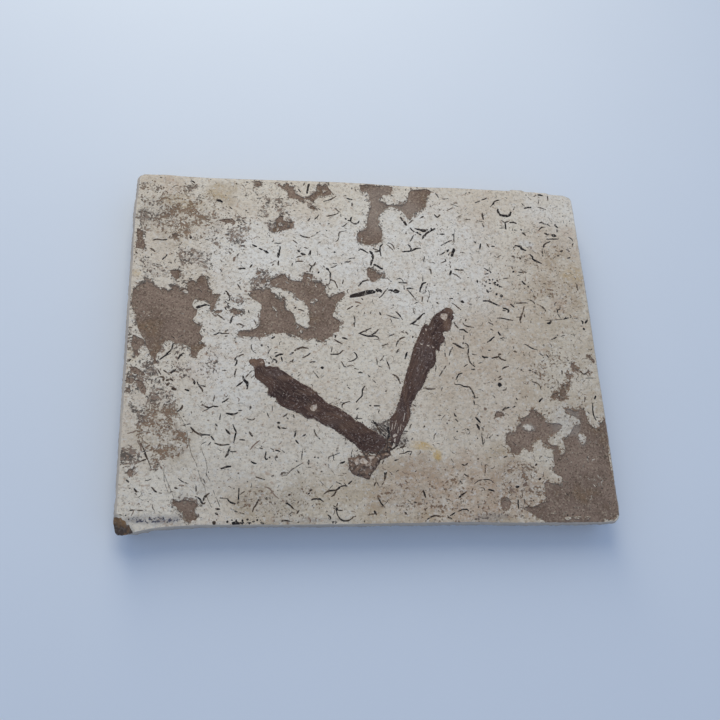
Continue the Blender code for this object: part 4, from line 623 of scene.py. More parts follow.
FLECKS_FAR_LEFT = (
    (D, 0.6, -74.5, 29.4, -74, 28.9), (D, 0.5, -69.3, 30.6, -68.5, 29.8),
    (D, 0.45, -66, 27, -65.4, 27.8, -64.9, 28.4, -64.7, 28.9),
    (K, 0.8, -54.8, 10.4, -53.4, 10.9, -51.8, 11.5), (D, 0.35, -51.4, 11.2, -50.8, 11.3),
    (K, 0.6, -41.9, 24.6, -41, 24.7, -39.9, 24.8), (D, 0.4, -38.3, 25.2, -37.6, 26.3),
    (D, 0.4, -47.7, 24.2, -47.3, 23.3), (B, 0.6, -43.5, 27.3, -43.4, 28.2, -43, 28.9),
    (M, 0.35, -42.8, 28.9, -41.9, 30.2), (M, 0.35, -41.2, 27.2, -41.1, 26.6), (M, 0.45, -46, 26),
    (M, 0.4, -42.2, 19, -41.6, 18, -40.9, 17), (M, 0.3, -41.4, 20, -41.4, 19.2), (B, 0.9, -39.5, 16.6),
    (D, 0.45, -46.1, 16.4, -45.4, 16, -44.9, 15, -44.6, 14.3, -44.7, 13), (D, 0.35, -46, 12.9, -45.5, 12.4),
    (D, 0.35, -45.3, 12, -44.7, 10.9), (D, 0.45, -46, 10.7, -45.6, 9.9),
    (D, 0.45, -48.4, 8.2, -47, 7.2, -46, 6.3), (D, 0.45, -43.5, 7.8, -43.9, 6.4, -44.3, 5.2),
    (D, 0.45, -42.2, 4.8, -41.4, 5.1, -40.4, 4.6, -39.9, 4.5, -40.6, 3.8),
    (D, 0.45, -49.2, 1.1, -48, 1.6, -47.5, 2, -46.7, 1.6, -44.6, 1.7), (M, 0.3, -47.5, 3, -47.3, 2.2),
    (D, 0.5, -45.7, 2.4, -44.9, 2.9), (M, 0.4, -38.6, 9.9, -38.4, 8.8), (B, 0.5, -39, 14, -38.2, 13.9),
    (B, 0.35, -42.7, 12.4, -42, 12.7, -41, 12.6), (K, 0.9, -49.5, 50.2, -48.5, 50, -47.8, 49.4),
    (M, 0.4, -45.4, 47.8, -44.9, 47.4, -44.3, 46.9), (D, 0.5, -57.9, 57.2, -56.9, 56.4), (M, 0.6, -68, 58),
    (D, 0.45, -51.7, 58.2), (D, 0.6, -43.1, 57), (D, 0.5, -39.9, 57.8, -39.3, 57.8),
    (D, 0.5, -69.3, 34, -68, 34.4, -66.4, 34.2, -65, 34.4), (D, 0.45, -64.4, 35, -64, 35.8),
    (D, 0.5, -57.4, 35.9, -57.4, 35), (D, 0.6, -69.9, 30.8, -68.6, 30), (D, 0.4, -41.4, 42),
    (D, 0.45, -38.9, 38.8), (D, 0.5, -39.8, 46.6), (M, 0.4, -46.3, 47.8), (D, 0.6, -37.6, 33.6, -36.2, 33),
    (K, 0.7, -35.4, 32.4, -34.4, 31.9), (K, 0.7, -33.8, 31.7, -33.2, 31.3, -32.5, 30.8),
    (K, 0.5, -28.6, 33.4, -28.6, 32.4, -28.9, 31.2, -28.9, 30), (D, 0.5, -29.4, 31, -29.3, 30, -29.2, 29.2),
    (D, 0.35, -30.4, 34.6, -29.3, 34.6, -28.2, 34.7), (M, 0.3, -31.2, 35, -30.6, 35.6),
    (D, 0.4, -24.3, 36, -23.5, 35.3, -22.9, 34.8), (K, 0.6, -22.7, 32.1, -22.2, 31.7),
    (K, 0.8, -21.7, 31, -20.4, 30.7), (D, 0.35, -20.7, 33.4, -20, 33.2, -19.5, 33),
    (K, 0.7, -18.6, 32.2, -18.9, 31, -19.1, 30.6), (M, 0.4, -16.4, 34.4, -16, 35.1, -15.1, 35.7),
    (M, 0.4, -12.8, 33.6, -12.3, 33.4), (K, 0.7, -10.6, 32), (M, 0.35, -32.2, 37.6, -31.9, 37),
    (M, 0.35, -10.1, 36, -9.4, 36.6, -9, 38, -8.9, 39.3, -8.2, 39.9, -6.4, 40.4),
    (M, 0.3, -30.2, 28.1, -31, 27.4, -32, 27), (D, 0.4, -31.2, 26.2, -30.6, 26.7),
    (D, 0.45, -29.1, 28, -29.2, 26.4), (D, 0.4, -23.2, 29.5, -22.4, 29.9, -21.7, 30),
    (D, 0.4, -23.5, 28, -22, 28.1, -21, 28.2), (D, 0.5, -24.6, 27.3, -24.7, 26.3),
    (D, 0.5, -17, 28, -17.4, 27, -18.2, 26.6, -18.9, 26.8),
    (D, 0.45, -18.2, 26.6, -18.7, 25.4, -18.9, 24.4), (D, 0.45, -15.9, 24.6, -16.3, 23.9),
    (D, 0.45, -13.5, 25.8, -12.9, 25.3, -12.4, 24.6, -12.2, 23.6, -12.3, 22.4, -12.1, 21.7, -11.1, 21.3,
     -10.6, 20.4, -10, 18.9), (K, 0.7, -13.5, 25.9, -12.8, 25.4),
    (D, 0.35, -12.3, 22, -12.5, 20.9, -12.8, 20, -13.6, 19.7),
    (D, 0.35, -12, 26.3, -11.2, 26.4, -10.5, 26.8, -9.9, 27.2), (M, 0.35, -11.3, 27.8, -10, 27.7),
    (M, 0.35, -14.5, 26.8, -14.1, 26.2), (D, 0.35, -8.2, 28, -8.5, 27.6),
    (K, 0.5, -7.3, 28.4, -6.3, 28.5, -5.4, 28.9), (D, 0.35, -6, 29.6, -5.1, 29.9, -3.9, 30),
    (D, 0.4, -8, 21.8, -8.2, 21, -8.4, 20.3),
    (D, 0.45, -3, 19.6, -2.2, 20.8, -1.6, 21.4, -0.4, 21.9, 0.6, 22), (M, 0.5, -13.8, 21.8),
    (M, 0.4, -2.2, 15.2, -1.8, 14.7), (B, 0.5, -4.4, 13.8, -3.4, 13.8, -2.5, 13.4),
    (M, 0.35, -4.2, 12.2, -3.2, 12.7), (D, 0.4, -7.1, 11.1, -6.2, 11.7, -5.2, 12.3), (K, 0.35, -10.1, 12.6),
    (M, 0.4, -5, 9, -4.7, 7.4, -5, 6.2, -4.9, 5), (M, 0.35, -1.5, 10.2, -1.7, 9.2),
    (M, 0.35, 0.6, 10.5, 0.4, 9.8), (D, 0.45, -3.6, 2.7, -1.5, 3.7, 0.3, 4.6),
    (K, 0.5, -3.4, 2.7, -0.6, 1.8, 1.6, 2, 2.8, 1.1), (D, 0.55, 0.2, 2, 1.6, 3, 2.7, 4.2),
    (D, 0.4, -11, 2, -11.3, 1), (K, 0.55, -24, 11, -23.6, 11.2),
    (D, 0.4, -22.9, 10.6, -21.8, 10.4, -21, 10), (D, 0.5, -31.3, 0.3, -30.4, 0.9),
    (M, 0.35, -36.9, 6.6, -36.2, 5), (M, 0.35, -9.4, 8.6, -9, 8.6),
    (K, 0.65, -18.6, 58.2, -18.9, 57.4, -19.2, 55.7, -19.4, 54.4), (D, 0.45, -20.1, 58.6, -20.6, 57.6),
    (D, 0.5, -22.3, 55.9, -21.6, 54.8), (D, 0.45, -13.8, 51.5, -12.1, 52.1, -10.6, 52.9, -9.5, 53.8),
    (D, 0.45, -12.9, 45.7, -11.2, 46.1, -10.1, 46.5, -8.9, 47.1),
    (M, 0.35, -10.1, 49.1, -9.3, 48.2, -8.2, 47.4), (M, 0.35, -8.2, 47.4, -8, 45.6),
    (D, 0.4, -15.7, 46.1, -16.2, 45.1, -17, 44.3), (M, 0.4, -18.5, 44.7, -19.3, 43.6), (M, 0.4, -21.2, 43),
    (D, 0.6, -12.3, 42.8), (D, 0.45, -21.9, 38, -20.8, 37.4, -18.7, 37.2),
    (M, 0.35, -18.3, 37.6, -17, 38.2, -16.3, 39.1, -15.2, 39.8), (D, 0.45, -23.8, 47.4),
    (D, 0.45, -24.9, 49.3), (M, 0.35, -4, 57.6, -3.9, 57), (M, 0.45, -2.8, 57.8, -2.6, 56.4),
    (D, 0.55, -5.8, 53.2, -4, 52.7), (D, 0.5, -4.1, 51.4, -4.1, 50.2),
    (D, 0.6, -5.7, 44.5, -4.9, 44.4, -4.4, 45.7), (D, 0.5, -6.7, 45.3, -6.3, 44.7),
    (D, 0.45, -4.9, 44.2, -3.7, 43.2, -2.5, 43.4, -1.9, 44.5), (M, 0.35, -6.1, 43.3, -7.2, 42.1, -8, 42),
    (K, 0.5, -2.5, 33, -1.8, 33.5, -1, 33.2, 0, 32.5, 0.6, 32.2),
)
FLECKS_FAR_RIGHT = (
    (K, 0.8, 2.4, 27.7, 3.2, 27.6, 4.2, 26.8, 5.2, 26.3), (M, 0.3, 5.7, 25.6, 5.6, 24.8),
    (M, 0.35, 6.6, 23.2, 7.3, 22.3, 8, 21.6), (M, 0.35, 9.8, 22.6, 10.8, 23, 11.6, 22.5, 11.9, 21.9),
    (D, 0.5, 10.4, 21.5, 13.2, 21.3), (D, 0.4, 12.1, 20.4, 12.1, 19), (D, 0.55, 13, 19.3, 15, 19.4),
    (D, 0.35, 13.2, 18.8, 14.2, 17.6, 15, 16.4, 15.9, 15.1), (D, 0.35, 15.3, 13.9, 16.7, 14.5),
    (M, 0.3, 18.8, 24.3, 18.6, 23, 18.6, 22),
    (K, 0.6, 19.6, 21.8, 18.6, 21.4, 18.2, 20.6, 17.6, 19.6, 17.3, 18.3),
    (M, 0.4, 20.3, 21.4, 19.8, 20.6, 19.4, 19.4, 19, 17.8),
    (M, 0.35, 20.2, 19, 20.6, 17.2, 20, 15.9, 19.6, 14.6), (D, 0.4, 18.2, 16.3, 17.8, 14.7),
    (D, 0.5, 21, 26.8, 21.5, 26.7, 21.6, 25.1), (D, 0.35, 22.2, 29.6, 23.2, 29.2),
    (D, 0.4, 25.3, 29.3, 26.4, 29.9, 27, 30.2, 26.8, 31), (M, 0.35, 28.4, 30.2, 28.6, 29.5),
    (D, 0.4, 28.6, 28.4, 28.4, 27.7), (K, 0.6, 28.6, 26.6, 28.3, 25.5, 28, 24.9),
    (D, 0.4, 29, 25.5, 30.1, 25.1, 30.8, 24.4, 31.7, 23.8), (D, 0.5, 29.9, 27.1, 31.4, 27, 33, 26.9),
    (D, 0.45, 37.3, 23.4, 37.3, 22.4), (M, 0.3, 34, 24, 34.5, 24.3),
    (M, 0.35, 32.8, 20.4, 32.8, 19.8, 32.3, 19.7), (D, 0.4, 27.1, 16.2, 28.3, 16.1),
    (K, 0.8, 31.1, 15.2, 31.9, 14.9), (D, 0.5, 34, 14.2), (D, 0.45, 22.7, 14.6, 23.2, 14.1),
    (D, 0.35, 27.8, 14.5, 28.8, 13.8, 29.4, 13.2, 30.6, 12.2), (D, 0.45, 32.2, 8.7, 31.8, 8),
    (D, 0.4, 31, 7.4, 31.2, 6.7, 32.4, 6.2, 34, 5.8), (D, 0.45, 28, 7.6, 28.4, 6.5, 29.2, 5.4),
    (K, 0.55, 29.6, 4.8, 30.8, 4.9, 31.5, 4.4, 32.2, 3.9), (M, 0.35, 33, 3.6, 33.1, 2.9),
    (D, 0.4, 30.9, 2.8, 30.7, 1.4), (M, 0.3, 26.2, 3.2), (D, 0.4, 5.8, 9.5, 7.2, 9, 8.6, 8.5, 9.8, 8.4),
    (D, 0.4, 8.8, 10.8, 9.8, 9.8, 10.4, 8.8, 10.9, 7.9), (K, 0.5, 3.5, 10.4, 3.9, 9.4),
    (M, 0.35, 14.7, 10.9, 15, 10.2), (K, 0.5, 13.4, 6.4, 14.6, 7, 15.6, 8, 16.8, 9, 17.8, 10.2, 18.4, 10.5),
    (D, 0.35, 13.6, 6.6, 15, 6.2, 16.2, 6), (D, 0.45, 10.3, 3.6, 11, 3.5), (D, 0.5, 11.7, 3.6, 12.4, 3),
    (M, 0.35, 13.3, 4), (M, 0.4, 6.2, 2, 7, 2.4, 7.9, 2.8), (D, 0.4, 14, 2.2, 13.8, 1.6),
    (D, 0.35, 6.6, 19.1, 5.6, 18, 4.8, 16.8, 3.6, 15.6), (M, 0.35, 1.4, 13.8, 2.1, 12.9),
    (K, 0.5, 6.8, 18.5, 8.2, 18.6), (K, 1.2, 8.7, 18.3, 9.7, 18.5), (K, 1.1, 2.8, 18.4, 3.7, 18.3),
    (D, 0.35, 19.8, 31.6, 19.4, 29.6), (D, 0.45, 40.1, 28, 41, 27.4, 41.4, 27),
    (D, 0.5, 42, 26.9, 42.4, 26.2), (D, 0.4, 40.2, 25.6, 41.4, 26), (M, 0.4, 50, 28.9, 50.2, 28),
    (K, 0.9, 50.3, 27), (D, 0.45, 52, 26.9, 53.5, 26.8), (M, 0.4, 54.2, 27.1, 54.8, 26.9),
    (M, 0.35, 46.4, 24.3, 48, 24.4), (D, 0.8, 41.6, 23.6), (D, 0.7, 42.7, 23.7), (D, 0.7, 44.3, 23.3),
    (M, 0.5, 45.2, 23.8), (D, 0.8, 40.3, 22.8), (D, 0.8, 41.6, 22.2), (K, 1, 43.3, 22.5),
    (K, 0.8, 44.2, 21.7), (D, 0.6, 43.4, 21.8), (D, 0.7, 44.9, 21.2), (M, 0.5, 45.5, 21),
    (M, 0.6, 39.8, 21.2), (M, 0.6, 41.6, 20.4), (K, 0.6, 40.3, 19.8, 40.7, 18.8), (K, 0.9, 43.5, 18.2),
    (K, 1.1, 45.1, 17.6), (K, 0.6, 53, 23.4, 53.6, 22.5, 54.1, 22.3), (D, 0.6, 54.9, 21.4),
    (D, 0.6, 55.8, 20.2), (D, 0.7, 56.4, 18.1, 56.5, 17.7), (M, 0.4, 49.9, 18.4),
    (D, 0.55, 38.6, 15.5, 40.4, 15.6, 41.4, 15.2, 42.2, 14.7, 43.2, 14.3, 44, 14),
    (K, 0.5, 47.9, 14.7, 48.4, 14.2, 49.1, 13.6), (K, 0.65, 45.3, 13, 46.4, 12.9, 47, 12.2, 46.7, 11.6),
    (M, 0.35, 45, 12.3, 46, 12.2), (D, 0.4, 50, 15.1, 51.6, 15.2, 53.2, 15.3, 54, 15.2),
    (M, 0.4, 54.3, 16.7, 55.2, 16.2, 56.2, 15.6, 56.3, 15), (M, 0.35, 55.8, 13.8, 56.5, 13.9),
    (D, 0.45, 58.1, 14.6, 58.8, 14, 59.6, 13.2, 59.9, 12.4),
    (D, 0.4, 42.8, 9.4, 44.4, 9.4, 46.4, 8.9, 48.1, 8.7),
    (D, 0.45, 52.6, 14, 52.1, 12.4, 51.2, 10.4, 50.6, 8.8, 50.8, 7.9), (M, 0.4, 49.4, 9.9, 51, 10),
    (M, 0.4, 52.2, 11.2, 52.4, 10), (M, 0.4, 39.6, 7.8, 40.4, 7.4, 41.2, 6.8), (D, 0.4, 40.1, 5.4, 40.8, 5),
    (K, 0.6, 42.6, 4.4, 43, 3.6, 43.4, 3.2), (M, 0.35, 43, 2.2, 43.6, 2, 44, 1.4),
    (M, 0.35, 44.4, 2.2, 45.2, 2.3), (K, 0.7, 59.9, 8, 60.6, 8, 61.4, 8.8),
    (M, 0.3, 59.2, 9, 61.5, 9.2, 63, 9.3, 65.4, 9.6), (D, 0.4, 65.8, 9.6, 66.8, 10, 67.6, 10.2),
    (D, 0.5, 68.3, 10.4), (M, 0.3, 69.6, 10.1, 71, 10.2), (D, 0.4, 60.6, 2.1, 61.6, 2.5, 62.4, 3),
    (D, 0.5, 62.8, 3.7), (M, 0.35, 64, 3.3, 65.4, 3.7), (D, 0.4, 63.9, 12, 64.2, 13, 65, 13.4, 65.2, 14.4),
    (M, 0.35, 64, 11.6, 64.7, 10), (M, 0.4, 62.4, 11), (D, 0.5, 71.9, 9.2, 72.4, 9, 72.3, 8),
    (D, 0.6, 73.2, 8.4, 74.2, 9.6), (K, 0.8, 72.5, 6.2), (D, 0.4, 72.4, 23, 72.3, 21.8, 72.4, 20.6),
    (M, 0.35, 69.1, 27), (M, 0.35, 64.8, 25.6), (M, 0.3, 60.4, 22.7, 61.2, 23),
    (D, 0.35, 25.8, 36, 26.4, 36.5, 27.6, 37.2, 28.6, 37.8, 29.8, 38.3),
    (M, 0.4, 30.6, 40.8, 30.6, 39.6, 30.5, 38.6, 30.6, 37.6), (M, 0.4, 30, 40.3, 31, 41),
    (K, 1, 30.2, 35, 29.8, 33.6, 29.3, 32.2), (K, 0.7, 28.4, 34.6, 27.9, 33.8),
    (M, 0.4, 28.3, 33, 28.2, 32.4), (M, 0.4, 24.4, 33.2, 24.3, 32.3),
    (D, 0.4, 25.1, 32.4, 26, 32.9, 27, 33.7), (D, 0.4, 32.4, 33.8, 33.8, 33.6),
    (D, 0.45, 37.6, 38.2, 38.2, 37.6), (M, 0.6, 37.7, 57.8), (M, 0.35, 29, 50.1, 30.2, 50.7, 31, 51.3),
    (D, 0.4, 31.6, 53.2, 33, 53.3), (M, 0.3, 30.4, 52.8, 31.8, 52.4, 33.2, 51.8),
    (M, 0.35, 27.2, 54.7, 28.6, 54.7, 29.8, 55), (M, 0.4, 25.4, 56.9, 25.9, 56.2, 26.5, 55.1),
    (M, 0.4, 35, 46.6, 36, 46.9, 37, 46.9), (M, 0.3, 32.1, 47.2, 32.9, 47.7, 33.8, 48.4, 34.4, 48.9),
    (D, 0.5, 24.5, 48.2, 25.1, 47.4, 25.8, 47.4, 26.4, 48.2), (D, 0.5, 26.5, 50.2),
    (M, 0.4, 23.1, 51.5, 23.5, 51.5), (D, 0.4, 19.2, 46.5, 20, 47, 20.5, 47.4),
    (K, 0.6, 12.5, 46.6, 12.9, 45.5, 13.3, 45.2), (K, 1.1, 13.6, 44.8, 14.2, 43.6),
    (D, 0.4, 15.2, 44.3, 16.1, 45, 16.4, 45.6), (D, 0.45, 15.6, 42.6, 16.2, 41.7, 17, 41.1),
    (D, 0.5, 17.4, 40.9, 18.4, 40.5, 19.2, 39.9), (D, 0.6, 17.2, 42.3, 18.6, 42, 20, 41.9, 21.7, 42),
    (K, 0.9, 18.9, 41.9, 20.8, 41.5),
    (K, 0.7, 24.2, 42.6, 22.8, 41.7, 21.6, 41, 20.6, 40, 20, 39.2, 19.7, 38.5),
    (K, 0.5, 22.9, 42.8, 22.9, 41.8), (D, 0.45, 25.8, 40.5, 27.4, 40.6), (M, 0.35, 24.8, 40.7, 25.2, 40.3),
    (D, 0.5, 6.2, 44.8), (M, 0.4, 8.2, 41.8), (M, 0.35, 10.6, 41.3),
    (D, 0.35, 16.6, 39.8, 15.8, 38.2, 15.2, 37.2), (D, 0.5, 14.4, 36, 15, 35.4, 15.4, 34.4, 15.2, 33.8),
    (K, 0.6, 12.4, 33.1, 13.8, 33.3, 15, 33.5, 15.8, 33.8, 17, 34.5, 18.6, 34.8),
    (K, 0.5, 5.8, 35.9, 5.2, 35.2, 4.8, 34.4, 4.7, 33, 5, 31.2), (D, 0.45, 4.8, 33.2, 3.4, 33.5, 2.4, 34),
    (D, 0.4, 2.9, 32.6, 4.4, 33), (K, 0.8, 1.2, 32.8, 1.8, 32, 2.2, 31.4),
    (M, 0.4, 7.4, 36.2, 8.2, 36.2, 9, 35.6, 9.5, 34.8, 9.6, 34),
    (D, 0.35, 7.2, 35.6, 8, 34.9, 8.6, 34.2, 9.2, 33.6), (K, 0.5, 10, 55.2), (M, 0.4, 8.8, 53),
    (M, 0.4, 11.7, 53.2), (M, 0.4, 12.6, 52.8), (D, 0.5, 14.9, 57.7),
    (D, 0.45, 39.4, 53.7, 40.6, 54.3, 41.3, 54.6), (D, 0.45, 41.9, 55, 42.9, 55.4, 43.9, 56),
    (D, 0.5, 44.8, 52.4, 45.9, 53.6, 46.5, 54.6, 48.1, 55.3),
    (K, 0.8, 47.4, 51.6, 47.4, 50.3, 48.1, 49.3, 49.4, 48.9, 51.2, 49.2, 51.8, 50.1, 52.1, 50.6),
    (M, 0.35, 53, 51.5, 53.7, 52.9), (M, 0.5, 48.1, 47.1, 49.4, 46.4, 50.9, 46.8),
    (K, 0.65, 49.5, 46.3, 49.5, 43.6), (M, 0.35, 47.1, 43.8, 49, 44.1),
    (K, 0.65, 51.2, 46.4, 52.5, 46.4, 53.5, 46.1), (D, 0.6, 41.6, 49.7, 41.7, 47.1),
    (M, 0.45, 40, 46.4, 41.2, 46.3), (D, 0.5, 41.2, 45.4, 41.7, 44.1), (M, 0.45, 52.5, 43.4, 53.5, 43.3),
    (D, 0.5, 54.9, 43.9, 55.2, 43.4), (D, 0.6, 55.4, 42.4, 56.4, 41.4),
    (D, 0.55, 57.2, 52.3, 58.2, 52.8, 59.7, 52.9), (M, 0.4, 56.4, 54.5, 57.3, 53.3), (D, 0.6, 58.4, 58),
    (D, 0.5, 61.3, 57.5, 61.9, 58.1), (D, 0.6, 62.9, 58.3, 64.5, 58.1), (D, 0.5, 66.4, 57.9, 66.3, 56.1),
    (M, 0.4, 63, 56.2, 62.5, 54.5), (M, 0.45, 62.2, 53.1, 63.7, 52.8, 64.8, 52.4),
    (D, 0.7, 62, 46.7, 62.8, 46.9, 63.5, 46.4), (M, 0.45, 63.9, 46.4, 65, 46.2, 65.7, 45.5),
    (D, 0.45, 61.3, 43.7, 62.6, 44.9, 63.9, 45.1), (D, 0.6, 67.7, 46.4, 67.8, 45.9, 68.5, 45.1),
    (M, 0.5, 68.1, 44.3, 68, 43), (D, 0.6, 63.4, 42.7, 64.4, 42.1), (K, 1, 66, 42, 67.3, 41.7),
    (K, 0.4, 63.8, 40.2, 66, 40.4, 68.1, 40.5), (D, 0.45, 65, 39.4, 63.4, 38.5, 62.5, 37.8, 62.1, 36.7),
    (M, 0.35, 61.6, 36, 61.6, 33.4), (K, 0.75, 52.1, 37.3, 54, 36.9, 54.2, 36, 55.6, 35.5),
    (M, 0.4, 51.2, 35.8, 52.1, 37.1), (K, 0.5, 39.8, 37.4, 39.6, 36.4, 39.4, 35.2),
    (D, 0.5, 42, 37.6, 42.3, 36.8, 42.7, 36.2), (D, 0.4, 43.5, 36.6, 44.7, 36.6),
    (D, 0.7, 50.5, 33, 51.4, 32.6), (M, 0.55, 53.8, 33.2, 55.1, 33.2), (D, 0.6, 53.3, 32.6, 53.3, 31.9),
    (K, 0.6, 57, 34.1, 57.8, 32.9, 57.9, 32.1, 59.4, 31.2, 60.7, 30.6),
    (M, 0.3, 44.1, 33, 45, 32.2, 46, 32.8, 46.8, 33.3), (D, 0.6, 68.2, 35.6, 69.1, 36),
    (M, 0.5, 66.9, 33.7, 67.4, 33.9), (M, 0.4, 70.6, 36.6, 71.6, 35.6), (D, 0.45, 70.3, 33, 71.5, 33.4),
    (M, 0.4, 72, 41.4, 72.9, 40.8, 73.3, 39.9), (D, 0.4, 73.3, 39, 72.7, 37.5), (D, 0.4, 73.2, 48),
)
FLECKS_FOOT = (                   # loose fibres between the wings, round their feet and beside the body
    (D, 0.42, -0.4, -26.4, 0.1, -27.4, 0.9, -28.6, 1.8, -30.2, 2.6, -31, 3.3, -31.7),
    (D, 0.34, 0.3, -26.9, 1.2, -28.2, 2, -29.2, 2.9, -30.1), (M, 0.28, -0.9, -26.9, -0.2, -27.6),
    (M, 0.34, 0.5, -28.8, 1.4, -30, 2, -31, 2.6, -31.8), (M, 0.3, 1.6, -28, 2.4, -28.8),
    (K, 0.6, 4.4, -28.2, 4.2, -29.4, 4.5, -30.4, 4.3, -31.4, 3.8, -32.4), (D, 0.5, 3.9, -27, 4.4, -26.2),
    (D, 0.42, 3, -27.9, 3.6, -28.6, 4.4, -29.1), (M, 0.32, 2.6, -28.4, 3.3, -29.4, 4.1, -30.3),
    (M, 0.4, 3.1, -26.8, 3.9, -26.9, 4.5, -26.3), (M, 0.3, 3, -30.2, 3.6, -31.2),
    (D, 0.4, 9.3, -29.8, 10.2, -29.9), (D, 0.3, 9.3, -30.5), (D, 0.34, 10.8, -29.2, 11.3, -28.4),
    (D, 0.45, 9.3, -32.6, 9.1, -33.8, 8.6, -34.8, 7.6, -35), (M, 0.5, 8.4, -33.6, 7.8, -34.3),
    (M, 0.3, 8.8, -31.2, 8.2, -31.9), (D, 0.5, 7.2, -33.2, 6.9, -34.2, 6, -35, 4.9, -35.6),
    (K, 0.35, 3.8, -34.6, 4.6, -35.2, 5.2, -35.8), (K, 0.4, 3, -35.8, 3.4, -36.2, 3.9, -36.4),
    (B, 0.5, 3, -36.9, 3.8, -37.3, 4.4, -37.2), (M, 0.34, 2.6, -38.8, 2.2, -39.4, 1.8, -40.2),
    (K, 0.5, -1.8, -37.2, -1.5, -37.9), (B, 0.6, -3.2, -36.9, -2.7, -37.5),
    (D, 0.4, -5.2, -37.2, -4.9, -38), (D, 0.36, 5.2, -33, 5.3, -34.2), (D, 0.3, -9, -31.9, -9.2, -33),
    (B, 0.4, -4.9, -36.3, -4, -36.8), (K, 0.5, 2.4, -42.9, 2.5, -44, 2.2, -44.9),
    (M, 0.3, 6.4, -35.6, 7.2, -35.3),
)
CRACKS = (                        # fine cracks and scored lines in the near left part
    (C, 0.2, -60.9, -21.2, -58.4, -25.6, -56.5, -29.3, -54.9, -36.4, -54, -38.6, -53.2, -40, -52.6, -42.2,
     -52, -44, -51.6, -45.4, -51, -46.2, -50.5, -47.2, -50.2, -49, -49.4, -51, -48.4, -53),
    (C, 0.2, -51.8, -35.6, -51.2, -37.4, -50.6, -38.6, -50.3, -40, -50, -41.4, -50.2, -43, -49.7, -44.2,
     -49.1, -45.4), (C, 0.22, -48.1, -48, -47.6, -49.4, -46.8, -51, -46.1, -52.8),
    (C, 0.2, -63.5, -40.2, -60.9, -46.2, -59.1, -50.2), (D, 0.3, -69.8, -33, -67.9, -36.7, -66, -41.4),
    (C, 0.2, -62.3, -40.2, -62.1, -45, -60.8, -48.5),
)
FLECKS = (
    FLECKS_FOOT + CRACKS + FLECKS_NEAR_LEFT + FLECKS_NEAR_MIDDLE + FLECKS_NEAR_RIGHT + FLECKS_MIDDLE_LEFT
    + FLECKS_MIDDLE_RIGHT + FLECKS_FAR_LEFT + FLECKS_FAR_RIGHT
)

# Tints of the films' spots: centre, half widths and strength of each.
WARM_SPOTS = {                    # browner parts
    "left_wing": (
        (-37, -8.2, 1.6, 1.8, 1), (-34.6, -8, 2.2, 1.3, 0.7), (-33.5, -12.5, 3, 3, 0.3),
        (-27, -12.8, 2.6, 0.9, 0.5), (-20, -17.5, 4, 1.2, 0.35), (-8, -28.5, 3.5, 2.2, 0.5),
        (-18.6, -22.6, 2.5, 2, 0.35), (-12.5, -26, 4, 2.4, 0.3), (-3, -29.5, 3, 1.2, 0.35),
        (0, -36.4, 4, 0.8, 0.3),
    ),
    "right_wing": (
        (25.8, 6.3, 1.8, 2.4, 0.7), (26.6, 11.4, 2, 1.8, 0.7), (20.5, 6, 1, 2.6, 0.4),
        (10.2, -14, 0.8, 9, 0.35), (17.5, 0, 3.6, 6, 0.22), (8, -28, 3, 6, 0.3),
        (10.8, -25, 0.7, 4, 0.5), (14, -9, 3, 9, 0.2),
    ),
}
DARK_SPOTS = {                    # blacker parts
    "left_wing": (
        (-27, -17.5, 5.5, 3.2, 0.8), (-34, -11, 2, 2, 0.6), (-3, -33.2, 6, 2.4, 0.7),
        (-22, -20, 3, 2, 0.8), (-10, -29, 8, 3, 0.6),
    ),
    "right_wing": (
        (21.5, 4.5, 2.6, 4, 0.7), (18.5, -5, 1.6, 4, 0.6), (9.4, -23, 1.2, 3, 0.6),
        (7.4, -29.5, 0.9, 2.4, 0.5),
    ),
}
ASH_SPOTS = {                     # greyer parts
    "left_wing": (
        (-30.5, -11.5, 2.6, 1.6, 0.7), (-13, -27.5, 2.6, 1.4, 0.5), (2, -32, 2, 1.4, 0.6),
    ),
    "right_wing": (
        (17.5, -3.5, 2.6, 5, 0.75), (14.5, -12.5, 1.6, 6, 0.5), (8.6, -24, 1.4, 5, 0.5),
        (6.5, -30.5, 2.2, 3.5, 0.7),
    ),
}

# How the flecks are drawn.
INK = {                           # how dark the film of each tone is
    "stump": 1.0, "bare": 0.0, "crack": 0.6, "black": 1.1, "dark": 1.0, "middling": 0.75, "brown": 0.0,
    "slate": 0.35, "faint": 0.45,
}
STROKE_WIDTH = 1.28               # share of the width given that a stroke is drawn at
DOT_WIDTH = 1.25                  # the same for a dot
STROKE_RAGGED = (0.6, 1.25)       # range of a stroke's half width along its edges
STROKE_ENDS = 0.5                 # half width at its ends, as a share
STROKE_CUT = 0.04                 # share of its length at each end that has the end's width
STROKE_TIP = 0.3                  # how far its tips reach, as a share of its width
DOT_SIDES = 7
DOT_SQUASH = (0.6, 0.95)          # range of its short side, as a share of the long one
DOT_RAGGED = (0.8, 1.15)          # range of its radius along the long one

# The fine flecks, scattered by rule between the traced ones; lengths in mm.
FINE_FLECKS = 1600
FINE_AREA = ((-73.0, 73.4), (-57.2, 57.2))
FINE_CROWD = 0.45                 # share that is kept everywhere
NEAR_CROWD = 0.35                 # how much more near the front edge, and below which y
NEAR_LIMIT = -36.0
RIGHT_CROWD = 0.2                 # how much more on the right, and beyond which x
RIGHT_LIMIT = 20.0
HAIR_SHARE = 0.5                  # share that are hairs, not specks
HAIR_LENGTH = (0.4, 1.9)
HAIR_BEND = (-0.3, 0.3)           # as a share of the length
HAIR_WIDTH = (0.16, 0.32)
SPECK_WIDTH = (0.25, 0.6)
FINE_TONES = ("faint", "faint", "middling", "middling", "brown", "dark")

